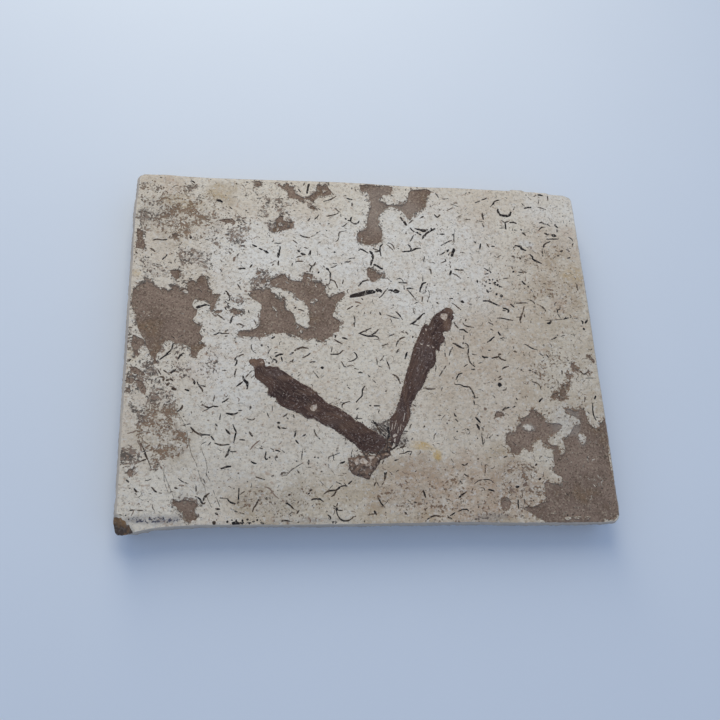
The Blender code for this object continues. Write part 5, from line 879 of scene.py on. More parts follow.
# Loose fibres along the edges of the wings and the body.
FIBRE_STEP = 8                    # edge points from one to the next
FIBRE_START = 0.12                # how far outside the edge they start, in mm
FIBRE_LEAN = (-1.2, 1.2)          # radians from the edge's outward direction
FIBRE_LENGTH = (0.3, 0.8)         # mm
FIBRE_WIDTH = (0.16, 0.34)        # mm
FIBRE_TONES = ("faint", "middling", "dark")

# How the zones and the films' spots are spread: the radius where they end, and how far they fade, as shares.
ZONE_END, ZONE_FADE = 1.25, 0.6
SPOT_END, SPOT_FADE = 1.3, 0.8
ZONE_WARP = ((0.12, 21.0, 34.0, 4.0), (0.35, 23.0, 36.0, 1.6))    # waves for each mm, two seeds, mm
ZONE_LOOSE = 6.0                  # a zone at least this wide is warped fully
PART_WARP = 0.3                   # share of the warp that the mottled parts have
PART_FADE = 1.6                   # width of their soft edge, in mm
BRINK = 1.8                       # how far from a broken edge the skin is crumbled

# The slab's materials by number, and those of the tones that aren't film.
SKIN, BED, FLECK, CHIP, SIDE, UNDER, POCKET, CRUST = range(8)
TONE_MATERIALS = {"brown": BED, "bare": SKIN, "stump": CRUST}
CHIP_START = 0.25                 # how deep the chip's surface is where its stone begins on the face
CHIP_SIDE = 0.12                  # how far below the chip's surface a side still shows its stone

# The relief of the films, in mm above the slab's face.
WING_FOOT = -0.14                 # at the edge
WING_RISE, WING_CAMBER = 0.05, 0.06
WING_RIDGE, WING_LUMP = 0.06, 0.07
RISE_RUN, RIDGE_RUN, LUMP_RUN = 0.9, 0.25, 0.6    # distances from the edge over which these grow
WING_LUMPS = (0.9, 0.4)           # waves for each mm, and how much of the wing is lumpy
SPOT_LEVEL, SPOT_GRIT = -0.10, 0.06
SPOT_NOISE = (2.0, 1.0)           # waves for each mm, and seed
FIBRES = ((17.0, 3.0, 0.25), (44.0, 9.0, 0.45), (24.0, 34.0, 0.35))    # waves across and along, and share
FIBRE_WANDER = (6.0, 3.0, 0.02)   # waves along and across, and how far the fibres wander
FIBRE_SEED = 3.0                  # seed from one noise to the next
FIBRE_MOST = 1.2                  # the most that they add up to
LEFT_SEED, RIGHT_SEED = 2.0, 5.0  # noise seeds of the two wings
WING_BORDER = 0.6                 # width of the worn border
BODY_FOOT = -0.12
BODY_RISE, BODY_LUMP, BODY_GRIT = 0.05, 0.34, 0.15
BODY_RUN = 0.8
BODY_LUMPS = (0.55, 3.0, 0.9)     # waves for each mm, seed and strength
BODY_GRAINS = (1.9, 6.0)          # waves for each mm, and seed
BODY_BORDER = 1.3

# The map for baking, as shares of its width: the size and corner of the face and of the underside, and the
# sides in strips, with their corner, their length, and the height from one to the next and for each metre.
FACE_MAP = (0.98, (0.01, 0.215))
UNDER_MAP = (0.25, (0.005, 0.005))
STRIPS = 4
STRIP_CORNER = (0.27, 0.004)
STRIP_LENGTH, STRIP_STEP, STRIP_SCALE = 2.8, 0.051, 3.9

# Colours, as linear light.
CREAM = (0.86, 0.73, 0.56)
CREAM_DEEP = (0.77, 0.62, 0.455)
CREAM_SHADE = (0.44, 0.34, 0.24)
TAN = (0.50, 0.36, 0.21)
ROSE = (0.52, 0.30, 0.19)
STAIN = (0.62, 0.36, 0.08)
PALE = (0.84, 0.77, 0.67)
WHITE = (0.94, 0.845, 0.715)
SLATE = (0.30, 0.27, 0.25)
MOTTLE = (0.25, 0.16, 0.108)
MOTTLE_RUST = (0.24, 0.13, 0.065)
MOTTLE_DARK = (0.065, 0.043, 0.032)
HAZE = (0.37, 0.265, 0.20)
SOIL = (0.15, 0.11, 0.085)
RUST = (0.42, 0.24, 0.14)
GRAIN = (0.20, 0.135, 0.085)
BED_BROWN = (0.328, 0.219, 0.152)
BED_DARK = (0.225, 0.145, 0.10)
BED_PALE = (0.55, 0.41, 0.28)
BED_RUST = (0.30, 0.18, 0.09)
BED_SPECK = (0.12, 0.08, 0.05)
BED_ASH = (0.50, 0.43, 0.35)
SOOT = (0.10, 0.09, 0.105)
FILM_BLACK = (0.020, 0.016, 0.015)
FILM_BROWN = (0.10, 0.062, 0.038)
CHIP_ORANGE = (0.34, 0.17, 0.065)
CHIP_BROWN = (0.10, 0.06, 0.038)
SIDE_GREY = (0.42, 0.36, 0.31)
SIDE_CREAM = (0.58, 0.48, 0.37)
WING_BLACK = (0.030, 0.015, 0.012)
WING_DUSK = (0.050, 0.026, 0.021)
WING_BROWN = (0.105, 0.054, 0.037)
WING_TAN = (0.27, 0.155, 0.095)
WING_PALE = (0.34, 0.25, 0.18)
WING_ASH = (0.155, 0.105, 0.088)
WING_FLEA = (0.36, 0.27, 0.22)
WING_GRAIN = (0.17, 0.10, 0.07)
SPOT_CREAM = (0.62, 0.49, 0.37)
SPOT_BROWN = (0.36, 0.24, 0.16)
BODY_DARK = (0.066, 0.040, 0.027)
BODY_BROWN = (0.215, 0.13, 0.082)
TABLE = (0.80, 0.81, 0.82)
TABLE_DEEP = (0.785, 0.795, 0.805)

# The stains that the zones lay on the skin.
STAINS = {"tan": TAN, "rose": ROSE, "stain": STAIN, "white": WHITE, "pale": PALE, "slate": SLATE}

# Light and floor, in metres and watts.
FLOOR_SIZE = 4.0
BACK_LIGHT = (-0.066, 0.32, 0.30)
BACK_LIGHT_SIZE = (0.2, 0.6)
BACK_LIGHT_POWER = 1.13
BACK_LIGHT_TINT = (1.0, 0.969, 0.823)
SKY = (0.526, 0.687, 1.0)
SKY_POWER = 0.62

# Grains laid over the colours: waves for each metre, detail, roughness, shift, the noise at which they begin
# and cover fully, and how much they then cover.
Grains = namedtuple("Grains", "scale detail roughness shift start full cover")
SAND = Grains(750.0, 5.0, 0.75, 0.0, 0.48, 0.64, 0.6)
CHALK = Grains(900.0, 4.0, 0.7, 0.6, 0.52, 0.68, 0.5)
DIRT = Grains(1100.0, 3.0, 0.6, 0.8, 0.74, 0.80, 0.9)
RUST_GRAINS = Grains(800.0, 3.0, 0.6, 0.35, 0.61, 0.68, 0.5)
PITS = Grains(1500.0, 3.0, 0.6, 0.15, 0.62, 0.68, 0.7)
BED_GRAINS = Grains(1500.0, 4.0, 0.75, 0.0, 0.5, 0.68, 0.8)
BED_SPECKS = Grains(1700.0, 3.0, 0.7, 0.4, 0.52, 0.64, 0.85)
CHIP_GRAINS = Grains(1100.0, 3.0, 0.6, 0.0, 0.5, 0.7, 0.3)
SIDE_GRAINS = Grains(700.0, 4.0, 0.65, 0.0, 0.55, 0.75, 0.5)
UNDER_GRAINS = Grains(500.0, 4.0, 0.65, 0.0, 0.55, 0.72, 0.6)
WING_GRAINS = Grains(2000.0, 2.0, 0.6, 0.25, 0.5, 0.62, 0.35)
WING_FLEAS = Grains(1700.0, 2.0, 0.6, 0.5, 0.59, 0.67, 0.7)
WING_FRAYS = Grains(900.0, 3.0, 0.7, 0.9, 0.79, 0.84, 0.85)
BODY_CRUMBS = Grains(1100.0, 3.0, 0.6, 0.2, 0.56, 0.64, 0.6)
SHIFT_ACROSS, SHIFT_UP = 1.7, 2.3    # a noise's shift along y and z, for a shift of 1 along x
MIX_INPUTS, MIX_OUTPUT = (0, 6, 7), 2    # the colour sockets of a Mix node, by number
BUMP_STRENGTH = 0.6


# ---------------------------------------------------------------- plan geometry

def wave(x, y, scale, seed):
    """Smooth noise from -1 to 1 at a plan point; scale is in waves for each mm."""
    return noise.noise(Vector((x * scale, y * scale, seed)))


def field(points, scale, seed):
    """The same noise at each of many plan points."""
    return np.array([wave(x, y, scale, seed) for x, y in points])


def smooth_step(values):
    """Values from 0 to 1, eased at both ends."""
    values = np.clip(values, 0.0, 1.0)
    return values * values * (3.0 - 2.0 * values)


def closed_runs(outline, longest):
    """The outline with each run cut into equal steps no longer than the length given."""
    points = []
    for start, end in zip(outline, outline[1:] + outline[:1]):
        start, end = Vector(start), Vector(end)
        steps = max(1, math.ceil((end - start).length / longest))
        points.extend(start.lerp(end, i / steps) for i in range(steps))
    return points


def outward_normals(points):
    """The outward direction at each point of an anticlockwise outline."""
    count = len(points)
    normals = []
    for i in range(count):
        along = (points[(i + 1) % count] - points[i - 1]).normalized()
        normals.append(Vector((along.y, -along.x)))
    return normals


def anticlockwise(outline):
    """The outline's points as an array, in anticlockwise order."""
    points = np.array(outline, float)
    after = np.roll(points, -1, axis=0)
    area = np.sum(points[:, 0] * after[:, 1] - points[:, 1] * after[:, 0])
    return points if area > 0 else points[::-1]


def broken_edge(outline, longest, roughness):
    """A closed outline in the frame, with short steps and small ragged bites, as a broken edge has."""
    runs = closed_runs(anticlockwise(outline).tolist(), longest)
    moved = []
    for point, normal in zip(runs, outward_normals(runs)):
        bite = sum(share * wave(*point, scale, seed) for scale, seed, share in EDGE_BITES)
        moved.append(tuple(point + normal * roughness * bite))
    return np.array(moved) + SHIFT


def unit(directions):
    """Directions at a length of one."""
    return directions / np.maximum(np.linalg.norm(directions, axis=1, keepdims=True), TINY)


def offset(points, distance):
    """Points beside a closed anticlockwise outline: outwards, or inwards if the distance is negative."""
    along = unit(np.roll(points, -1, axis=0) - np.roll(points, 1, axis=0))
    return points + np.stack((along[:, 1], -along[:, 0]), axis=1) * distance


def inside(points, outline):
    """Whether each point lies inside a closed outline."""
    x, y = points.T
    low, high = outline.min(axis=0), outline.max(axis=0)
    near = np.flatnonzero((x >= low[0]) & (x <= high[0]) & (y >= low[1]) & (y <= high[1]))
    x, y = points[near].T
    odd = np.zeros(len(near), bool)
    for (ax, ay), (bx, by) in zip(outline, np.roll(outline, -1, axis=0)):
        if ay != by:
            crosses = (ay > y) != (by > y)
            odd ^= crosses & (x < (bx - ax) * (y - ay) / (by - ay) + ax)
    found = np.zeros(len(points), bool)
    found[near] = odd
    return found


def line_distance(points, line, closed=True):
    """Each point's distance from a line of points, and how far along the line its nearest place is."""
    ends = np.roll(line, -1, axis=0) if closed else line[1:]
    starts = line if closed else line[:-1]
    lengths = np.linalg.norm(ends - starts, axis=1)
    before = np.concatenate(((0.0,), np.cumsum(lengths)[:-1]))
    best = np.full(len(points), np.inf)
    place = np.zeros(len(points))
    for start, end, length, passed in zip(starts, ends, lengths, before):
        if length < TINY:
            continue
        share = np.clip((points - start) @ (end - start) / length ** 2, 0.0, 1.0)
        gap = np.linalg.norm(points - start - share[:, None] * (end - start), axis=1)
        closer = gap < best
        best[closer] = gap[closer]
        place[closer] = passed + share[closer] * length
    return best, place / lengths.sum()


def edge_distance(points, outline):
    """Each point's distance from a closed outline."""
    return line_distance(points, outline)[0]


def soft_oval(points, spot, end, fade):
    """How strongly a soft oval covers each point; the spot is its centre, half widths and strength."""
    x, y, half_x, half_y, strength = spot
    radius = np.linalg.norm((points - (x, y)) / (half_x, half_y), axis=1)
    return strength * smooth_step((end - radius) / fade)


# ---------------------------------------------------------------- flecks

def smooth_line(points):
    """A Catmull-Rom curve through the points, with two steps for each run."""
    points = np.array(points, float)
    padded = np.vstack((2 * points[0] - points[1], points, 2 * points[-1] - points[-2]))
    line = []
    for a, b, c, d in zip(padded, padded[1:], padded[2:], padded[3:]):
        for share in (0.0, 0.5):
            near = 2 * b + (c - a) * share
            far = (2 * a - 5 * b + 4 * c - d) * share ** 2 + (3 * b - a - 3 * c + d) * share ** 3
            line.append((near + far) / 2)
    line.append(points[-1])
    return np.array(line)


def ragged_widths(half, dice):
    """Half widths along one edge of a stroke, each made a little narrower or wider."""
    return (half * [dice.uniform(*STROKE_RAGGED) for _ in half])[:, None]


def stroke(points, width, dice):
    """The outline of a fleck that runs through the points and thins to its ends."""
    line = smooth_line(points)
    share = np.clip(np.linspace(0.0, 1.0, len(line)), STROKE_CUT, 1.0 - STROKE_CUT)
    half = width / 2 * (STROKE_ENDS + (1.0 - STROKE_ENDS) * np.sqrt(np.sin(math.pi * share)))
    along = unit(np.gradient(line, axis=0))
    normal = np.stack((-along[:, 1], along[:, 0]), axis=1)
    left = line + normal * ragged_widths(half, dice)
    right = line - normal * ragged_widths(half, dice)
    reach = width * STROKE_TIP
    first, last = line[0] - along[0] * reach, line[-1] + along[-1] * reach
    return np.vstack((first, right, last, left[::-1]))


def dot(centre, width, dice):
    """The outline of a small uneven fleck."""
    turn = dice.uniform(0.0, math.tau)
    squash = dice.uniform(*DOT_SQUASH)
    ring = []
    for i in range(DOT_SIDES):
        angle = math.tau * i / DOT_SIDES
        x = math.cos(angle) * width / 2 * dice.uniform(*DOT_RAGGED)
        ring.append((x, math.sin(angle) * width / 2 * squash))
    spin = np.array(((math.cos(turn), math.sin(turn)), (-math.sin(turn), math.cos(turn))))
    return np.array(ring) @ spin + np.array(centre)


def traced_flecks(dice):
    """Every traced fleck as its tone and outline."""
    made = list(LONG_FLECKS)
    for tone, width, *flat in FLECKS:
        points = list(zip(flat[::2], flat[1::2]))
        if len(points) > 1:
            made.append((tone, stroke(points, width * STROKE_WIDTH, dice)))
        else:
            made.append((tone, dot(points[0], width * DOT_WIDTH, dice)))
    return made


def hair(x, y, heading, length, bend, dice):
    """The outline of a short bent hair that starts at a point."""
    ahead = Vector((math.cos(heading), math.sin(heading))) * length
    middle = (x + ahead.x / 2 - bend * math.sin(heading), y + ahead.y / 2 + bend * math.cos(heading))
    return stroke(((x, y), middle, (x + ahead.x, y + ahead.y)), dice.uniform(*HAIR_WIDTH), dice)


def fine_flecks(dice):
    """Short faint hairs and specks between the traced flecks, more of them near and to the right."""
    made = []
    while len(made) < FINE_FLECKS:
        x, y = (dice.uniform(*span) for span in FINE_AREA)
        if dice.random() > FINE_CROWD + NEAR_CROWD * (y < NEAR_LIMIT) + RIGHT_CROWD * (x > RIGHT_LIMIT):
            continue
        heading = dice.uniform(0.0, math.pi)
        length = dice.uniform(*HAIR_LENGTH) if dice.random() < HAIR_SHARE else 0.0
        bend = dice.uniform(*HAIR_BEND) * length
        if length:
            outline = hair(x, y, heading, length, bend, dice)
        else:
            outline = dot((x, y), dice.uniform(*SPECK_WIDTH), dice)
        made.append((dice.choice(FINE_TONES), outline))
    return made


def edge_fibres(dice):
    """Short loose fibres that stick out of the edges of the wings and the body."""
    made = []
    for ring in fossil_outlines():
        ring = ring - SHIFT
        outer = offset(ring, FIBRE_START)
        for number in range(0, len(ring), FIBRE_STEP):
            start = Vector(outer[number])
            heading = (start - Vector(ring[number])).normalized()
            heading.rotate(Matrix.Rotation(dice.uniform(*FIBRE_LEAN), 2))
            length = dice.uniform(*FIBRE_LENGTH)
            points = (start, start + heading * length / 2, start + heading * length)
            outline = stroke(points, dice.uniform(*FIBRE_WIDTH), dice)
            made.append((dice.choice(FIBRE_TONES), outline))
    return made


# ---------------------------------------------------------------- meshing

def jittered_grid(outline, step, dice):
    """Plan points on a loose grid of staggered rows over the outline's box."""
    low, high = outline.min(axis=0), outline.max(axis=0)
    columns, rows = ((high - low) / step).astype(int) + 1
    wobble = step * JITTER
    points = []
    for row in range(rows):
        shift = step / 2 * (row % 2)
        for column in range(columns):
            x = low[0] + column * step + shift + dice.uniform(-wobble, wobble)
            points.append((x, low[1] + row * step + dice.uniform(-wobble, wobble)))
    return np.array(points)


def clear_of(points, kept, gap):
    """The points that are further than about the gap from every kept point."""
    taken = {(int(x // gap), int(y // gap)) for x, y in kept}
    free = []
    for x, y in points:
        column, row = int(x // gap), int(y // gap)
        around = ((column + i, row + j) for i, j in product((-1, 0, 1), repeat=2))
        free.append(taken.isdisjoint(around))
    return points[free]


def triangulate(rim, outlines, loose):
    """Triangles over the rim's inside that keep the rim and every outline as edges.

    Gives the plan points, the triangles, and the number of each rim point among the plan points.
    """
    edges = []
    count = len(rim)
    for outline in outlines:
        size = len(outline)
        edges.extend((count + i, count + (i + 1) % size) for i in range(size))
        count += size
    plan = [Vector(point) for point in np.vstack([rim, *outlines, loose])]
    places, _, triangles, sources, _, _ = delaunay_2d_cdt(plan, edges, [list(range(len(rim)))], 1, MERGE)
    numbers = {source: number for number, merged in enumerate(sources) for source in merged}
    return np.array(places), np.array(triangles), np.array([numbers[i] for i in range(len(rim))])


def ring_faces(upper, lower):
    """The triangles between two rings of points of one size, given by their numbers."""
    next_upper, next_lower = np.roll(upper, -1), np.roll(lower, -1)
    first = np.stack((upper, lower, next_lower), axis=1)
    return np.vstack((first, np.stack((upper, next_lower, next_upper), axis=1)))


def add_mesh(name, points, faces, material_numbers, materials):
    """A smooth-shaded object, its points given in mm, with a material number for each face."""
    mesh = bpy.data.meshes.new(name)
    mesh.from_pydata((np.asarray(points) * MM).tolist(), [], np.asarray(faces).tolist())
    for material in materials:
        mesh.materials.append(material)
    mesh.polygons.foreach_set("material_index", np.asarray(material_numbers, np.int32))
    mesh.polygons.foreach_set("use_smooth", np.ones(len(faces), bool))
    mesh.update()
    piece = bpy.data.objects.new(name, mesh)
    bpy.context.scene.collection.objects.link(piece)
    return piece


def add_values(piece, name, values, domain="POINT"):
    """A named number on each point or face, for the materials to read."""
    layer = piece.data.attributes.new(name, "FLOAT", domain)
    layer.data.foreach_set("value", np.asarray(values, np.float32))


def places_of(piece):
    """The piece's points, in metres."""
    places = np.zeros(len(piece.data.vertices) * 3)
    piece.data.vertices.foreach_get("co", places)
    return places.reshape(-1, 3)


def plan_of(piece):
    """The plan points of a piece, in mm."""
    return places_of(piece)[:, :2] / MM


# ---------------------------------------------------------------- the slab's face

Drawing = namedtuple("Drawing", "patches islands pockets flecks")


def film_outline(edges):
    """A wing's closed outline in the frame, with a finely frayed edge."""
    first, second = edges
    return broken_edge(first + second[::-1], FILM_RUN, FRAY)


def body_outline():
    """The body's closed outline in the frame."""
    return broken_edge(BODY_EDGE, FILM_RUN, FRAY)


def fossil_outlines():
    """The outlines of the wings and the body."""
    return [film_outline(LEFT_WING), film_outline(RIGHT_WING), body_outline()]


def drawn_on_face():
    """Everything drawn on the face, in the frame: patches, islands, pockets, and flecks with their tones."""
    dice = random.Random(SEED)
    patches = [broken_edge(outline, PATCH_RUN, PATCH_ROUGHNESS) for outline in PATCHES]
    islands = [broken_edge(outline, PATCH_RUN, PATCH_ROUGHNESS) for outline in ISLANDS]
    pockets = [offset(outline, POCKET_GAP) for outline in fossil_outlines()]
    flecks = traced_flecks(dice) + fine_flecks(dice) + edge_fibres(dice)
    flecks = [(tone, anticlockwise(outline) + SHIFT) for tone, outline in flecks]
    return Drawing(patches, islands, pockets, flecks)


def worn_rim(edge, normals):
    """The face's rim in the frame, with small nicks worn into it."""
    fine, broad = NICKS
    rim = []
    for point, normal in zip(edge, normals):
        nick = fine[2] * abs(wave(*point, *fine[:2]))
        nick += broad[2] * max(0.0, wave(*point, *broad[:2]) - NICK_START)
        rim.append(tuple(point - normal * nick))
    return np.array(rim) + SHIFT


def laid_out(rim, drawing, dice):
    """The outlines that lie wholly on the face, and the loose points beside and between them."""
    marks = [outline for _, outline in drawing.flecks]
    drawn = [*drawing.patches, *drawing.islands, *drawing.pockets, *marks]
    inner = offset(rim, -RIM_MARGIN)
    ends = np.cumsum([len(outline) for outline in drawn])
    clear = [part.all() for part in np.split(inside(np.vstack(drawn), inner), ends[:-1])]
    whole = [outline for outline, kept in zip(drawn, clear) if kept]
    parts = [outline for outline, kept in zip(drawn, clear) if not kept]
    beside = [offset(outline, -WALL_WIDTH) for outline in drawing.patches + drawing.pockets]
    beside += [offset(outline, WALL_WIDTH) for outline in drawing.islands]
    taken = np.vstack(whole + beside + parts)
    grid = clear_of(jittered_grid(rim, FACE_GRID, dice), taken, FACE_GAP)
    loose = np.vstack(beside + parts + [grid])
    return whole, loose[inside(loose, inner)]


def patch_depth(points, outline, islands):
    """How deep points inside a patch lie, in mm; the islands of skin in it stay at the face."""
    gap = edge_distance(points, outline)
    for island in islands:
        if inside(island.mean(axis=0)[None], outline)[0]:
            gap = np.minimum(gap, edge_distance(points, island))
            gap[inside(points, island)] = 0.0
    scale, seed, rise = PATCH_SWELL
    floor = PATCH_DEPTH - rise * smooth_step(field(points, scale, seed) + PATCH_LIFT)
    return floor * smooth_step(gap / WALL_WIDTH)


def depth_below(points, drawing):
    """How deep each plan point of the face lies in a patch or a pocket, in mm."""
    depth = np.zeros(len(points))
    for outline in drawing.patches:
        within = inside(points, outline)
        depth[within] = np.maximum(depth[within], patch_depth(points[within], outline, drawing.islands))
    for outline in drawing.pockets:
        within = inside(points, outline)
        wall = smooth_step(edge_distance(points[within], outline) / POCKET_WALL)
        depth[within] = np.maximum(depth[within], POCKET_DEPTH * wall)
    return depth


def face_relief(points):
    """The face's own low swells and fine pitting, in mm below its highest level."""
    relief = np.full(len(points), FACE_LOW)
    for scale, seed, depth in FACE_RELIEF:
        relief += depth * (0.5 + 0.5 * field(points, scale, seed))
    return relief


def chip_surface(points):
    """The height of the shell-shaped chip's surface at each plan point, high where there is none."""
    away = np.linalg.norm(points - CHIP_CENTRE - SHIFT, axis=1)
    shell = np.sqrt(np.maximum(0.0, CHIP_RADIUS ** 2 - away ** 2))
    low = TOP + CHIP_RISE - shell + CHIP_RIPPLE * np.sin(away * CHIP_RHYTHM)
    return np.where(away < CHIP_RADIUS, low, NO_CHIP)


def face_materials(centres, drawing):
    """Each face triangle's material number, and how dark its film is."""
    numbers = np.full(len(centres), SKIN)
    ink = np.zeros(len(centres))
    for tone, outline in drawing.flecks:
        marked = inside(centres, outline)
        numbers[marked] = TONE_MATERIALS.get(tone, FLECK)
        ink[marked] = INK[tone]
    bare = np.zeros(len(centres), bool)
    for outline in drawing.patches:
        bare |= inside(centres, outline)
    for outline in drawing.islands:
        bare &= ~inside(centres, outline)
    numbers[bare & (numbers == SKIN)] = BED
    # The pockets take the dark pocket stone, which shows as a painted shade line in the thin gap round the
    # films.
    for outline in drawing.pockets:
        numbers[inside(centres, outline)] = POCKET
    numbers[chip_surface(centres) < TOP - CHIP_START] = CHIP
    return numbers, ink


def zone_warp(points):
    """How far the zones are pushed about at each plan point, in mm, so that their edges wander."""
    warp = np.zeros((len(points), 2))
    for scale, first, second, reach in ZONE_WARP:
        warp += np.stack((field(points, scale, first), field(points, scale, second)), axis=1) * reach
    return warp


def zone_values(points):
    """For each kind of zone, its strength at each plan point."""
    warp = zone_warp(points)
    values = {kind: np.zeros(len(points)) for kind in ZONES}
    for kind, spots in ZONES.items():
        for spot in spots:
            amount = min(1.0, min(spot[2:4]) / ZONE_LOOSE)
            cover = soft_oval(points + warp * amount - SHIFT, spot, ZONE_END, ZONE_FADE)
            values[kind] = np.maximum(values[kind], cover)
    shifted = points + warp * PART_WARP
    for strength, outline in MOTTLED_PARTS:
        outline = anticlockwise(outline) + SHIFT
        gap = edge_distance(shifted, outline)
        depth = np.where(inside(shifted, outline), gap, -gap)
        cover = strength * smooth_step(0.5 + depth / PART_FADE)
        values["mottle"] = np.maximum(values["mottle"], cover)
        values["clear"] = np.maximum(values["clear"], -cover)
    values["mottle"] *= 1.0 - values.pop("clear")
    return values


def brink_values(points, outlines):
    """How near each plan point is to a broken edge of the skin, from 0 to 1."""
    values = np.zeros(len(points))
    for outline in outlines:
        low, high = outline.min(axis=0) - BRINK, outline.max(axis=0) + BRINK
        near = ((points > low) & (points < high)).all(axis=1)
        gap = edge_distance(points[near], outline)
        values[near] = np.maximum(values[near], np.clip(1.0 - gap / BRINK, 0.0, 1.0))
    return values


# ---------------------------------------------------------------- the slab's sides and underside

def solid_rings(edge, normals):
    """The solid's rings down the sides, in mm, one row of points for each."""
    rings = []
    for layer, (depth, stand, ragged) in enumerate(SIDE_RINGS):
        ring = []
        for point, normal in zip(edge, normals):
            shoulder = 1.0 + LEFT_SHOULDER * max(0.0, -normal.x) if stand > 0.0 else 1.0
            rough = abs(wave(*point, RAGGED_WAVE, layer // 2 * BED_TURN)) * NOISE_GAIN
            swell = wave(*point, BED_WAVE, BED_SEED) * NOISE_GAIN if ragged and depth < TOP else 0.0
            x, y = point + normal * (stand * shoulder - ragged * rough)
            ring.append((x + SHIFT[0], y + SHIFT[1], TOP - (depth + BED_SWELL * swell)))
        rings.append(ring)
    return np.array(rings)


def side_bites(places, depth):
    """How far the broken beds stand back at each place of one depth, in mm."""
    bites = np.full(len(places), BED_GROOVE * (0.5 + 0.5 * math.sin(depth * BED_RHYTHM)))
    for scale, seed, slide, reach in SIDE_BITES:
        bites += reach * np.abs(field(places + depth * slide, scale, depth * seed))
    return bites * min(1.0, depth / BITE_FADE)


def side_rows(edge, normals, ceiling):
    """Rows of points down the sides: the solid's rings, filled in, roughened inwards and cut by the chip.

    Each row stays below the one above; ceiling gives the heights of the face's rim.
    """
    rings = solid_rings(edge, normals)
    depths = [depth for depth, _, _ in SIDE_RINGS]
    inward = -np.array(normals)
    rows = []
    for depth in SIDE_ROWS:
        upper = max(i for i, level in enumerate(depths[:-1]) if level <= depth)
        share = (depth - depths[upper]) / (depths[upper + 1] - depths[upper])
        row = rings[upper] * (1.0 - share) + rings[upper + 1] * share
        if depth < TOP:
            row[:, :2] += inward * side_bites(row[:, :2], depth)[:, None]
        row[:, 2] = np.minimum(row[:, 2], ceiling - ROW_DROP)
        row[:, 2] = np.maximum(0.0, np.minimum(row[:, 2], chip_surface(row[:, :2])))
        ceiling = row[:, 2]
        rows.append(row)
    return rows


def underside(rim, bottom, ring, first, dice):
    """The underside on the lowest ring of points: its points, numbered from first, and its triangles."""
    grid = jittered_grid(rim, UNDER_GRID, dice)
    grid = grid[inside(grid, offset(bottom, -UNDER_GRID / 2))]
    plan, triangles, rim_numbers = triangulate(bottom, [], grid)
    numbers = first + np.arange(len(plan))
    numbers[rim_numbers] = ring
    dents = sum(depth * smooth_step(field(plan, scale, seed)) for scale, seed, depth in UNDER_RELIEF)
    return np.column_stack((plan, dents)), numbers[triangles][:, ::-1]


def places_around(rim):
    """For each corner of one ring of side triangles, how far round the rim it lies, from 0 to 1."""
    steps = np.linalg.norm(np.roll(rim, -1, axis=0) - rim, axis=1)
    place = np.concatenate(((0.0,), np.cumsum(steps))) / steps.sum()
    here, ahead = place[:-1], place[1:]
    return np.vstack((np.stack((here, here, ahead), axis=1), np.stack((here, ahead, ahead), axis=1)))


def unwrap(piece, face_count, around):
    """The map for baking: the face large, the underside small, and the sides in strips."""
    mesh = piece.data
    corners = np.zeros(len(mesh.loops), np.int32)
    mesh.loops.foreach_get("vertex_index", corners)
    places = places_of(piece)[corners]
    low = places.min(axis=0)
    width = np.ptp(places[:, 0])
    side = slice(3 * face_count, 3 * face_count + around.size)
    uv = (places - low)[:, :2]
    for part, (size, corner) in ((slice(0, side.start), FACE_MAP), (slice(side.stop, None), UNDER_MAP)):
        uv[part] = uv[part] * (size / width) + corner
    strip = np.minimum(STRIPS - 1, (around.mean(axis=1, keepdims=True) * STRIPS).astype(int))
    uv[side, 0] = STRIP_CORNER[0] + (around - strip / STRIPS).ravel() * STRIP_LENGTH
    uv[side, 1] = STRIP_CORNER[1] + np.repeat(strip, 3) * STRIP_STEP + places[side, 2] * STRIP_SCALE
    mesh.uv_layers.new(name="OFBake").data.foreach_set("uv", uv.ravel())


def make_slab(materials):
    """The slab as one closed mesh: the drawn face, the broken sides and the underside."""
    dice = random.Random(SEED + 1)
    edge = closed_runs(FACE_EDGE, FACE_RUN)
    normals = outward_normals(edge)
    rim = worn_rim(edge, normals)
    drawing = drawn_on_face()
    plan, face, upper = triangulate(rim, *laid_out(rim, drawing, dice))
    height = np.minimum(TOP - face_relief(plan) - depth_below(plan, drawing), chip_surface(plan))
    rows = side_rows(edge, normals, height[upper])
    rings = [upper, *(len(plan) + np.arange(len(rows) * len(rim)).reshape(len(rows), -1))]
    sides = np.vstack([ring_faces(*pair) for pair in zip(rings, rings[1:])])
    under, below = underside(rim, rows[-1][:, :2], rings[-1], rings[-1][-1] + 1, dice)
    points = np.vstack([np.column_stack((plan, height)), *rows, under])
    faces = np.vstack((face, sides, below))
    numbers, ink = face_materials(plan[face].mean(axis=1), drawing)
    numbers = np.concatenate((numbers, np.full(len(sides), SIDE), np.full(len(below), UNDER)))
    centres = points[faces].mean(axis=1)
    numbers[(numbers == SIDE) & (chip_surface(centres[:, :2]) < centres[:, 2] + CHIP_SIDE)] = CHIP
    brink = np.zeros(len(points))
    brink[:len(plan)] = brink_values(plan, drawing.patches + drawing.islands)
    used, faces = np.unique(faces, return_inverse=True)
    slab = add_mesh("limestone_slab_detailed", points[used], faces.reshape(-1, 3), numbers, materials)
    add_values(slab, "ink", np.pad(ink, (0, len(numbers) - len(ink))), "FACE")
    add_values(slab, "brink", brink[used])
    for kind, values in zone_values(points[used, :2]).items():
        add_values(slab, kind, values)
    unwrap(slab, len(face), np.tile(places_around(rim), (len(rows), 1)))
    slab.data.set_sharp_from_angle(angle=CREASE)
    return slab


# ---------------------------------------------------------------- the wings and the body

def wing_places(points, edges):
    """For each plan point, how far along the wing it is and how far across, as shares."""
    first, first_place = line_distance(points, np.array(edges[0]) + SHIFT, closed=False)
    second, second_place = line_distance(points, np.array(edges[1]) + SHIFT, closed=False)
    return (first_place + second_place) / 2, first / np.maximum(first + second, TINY)


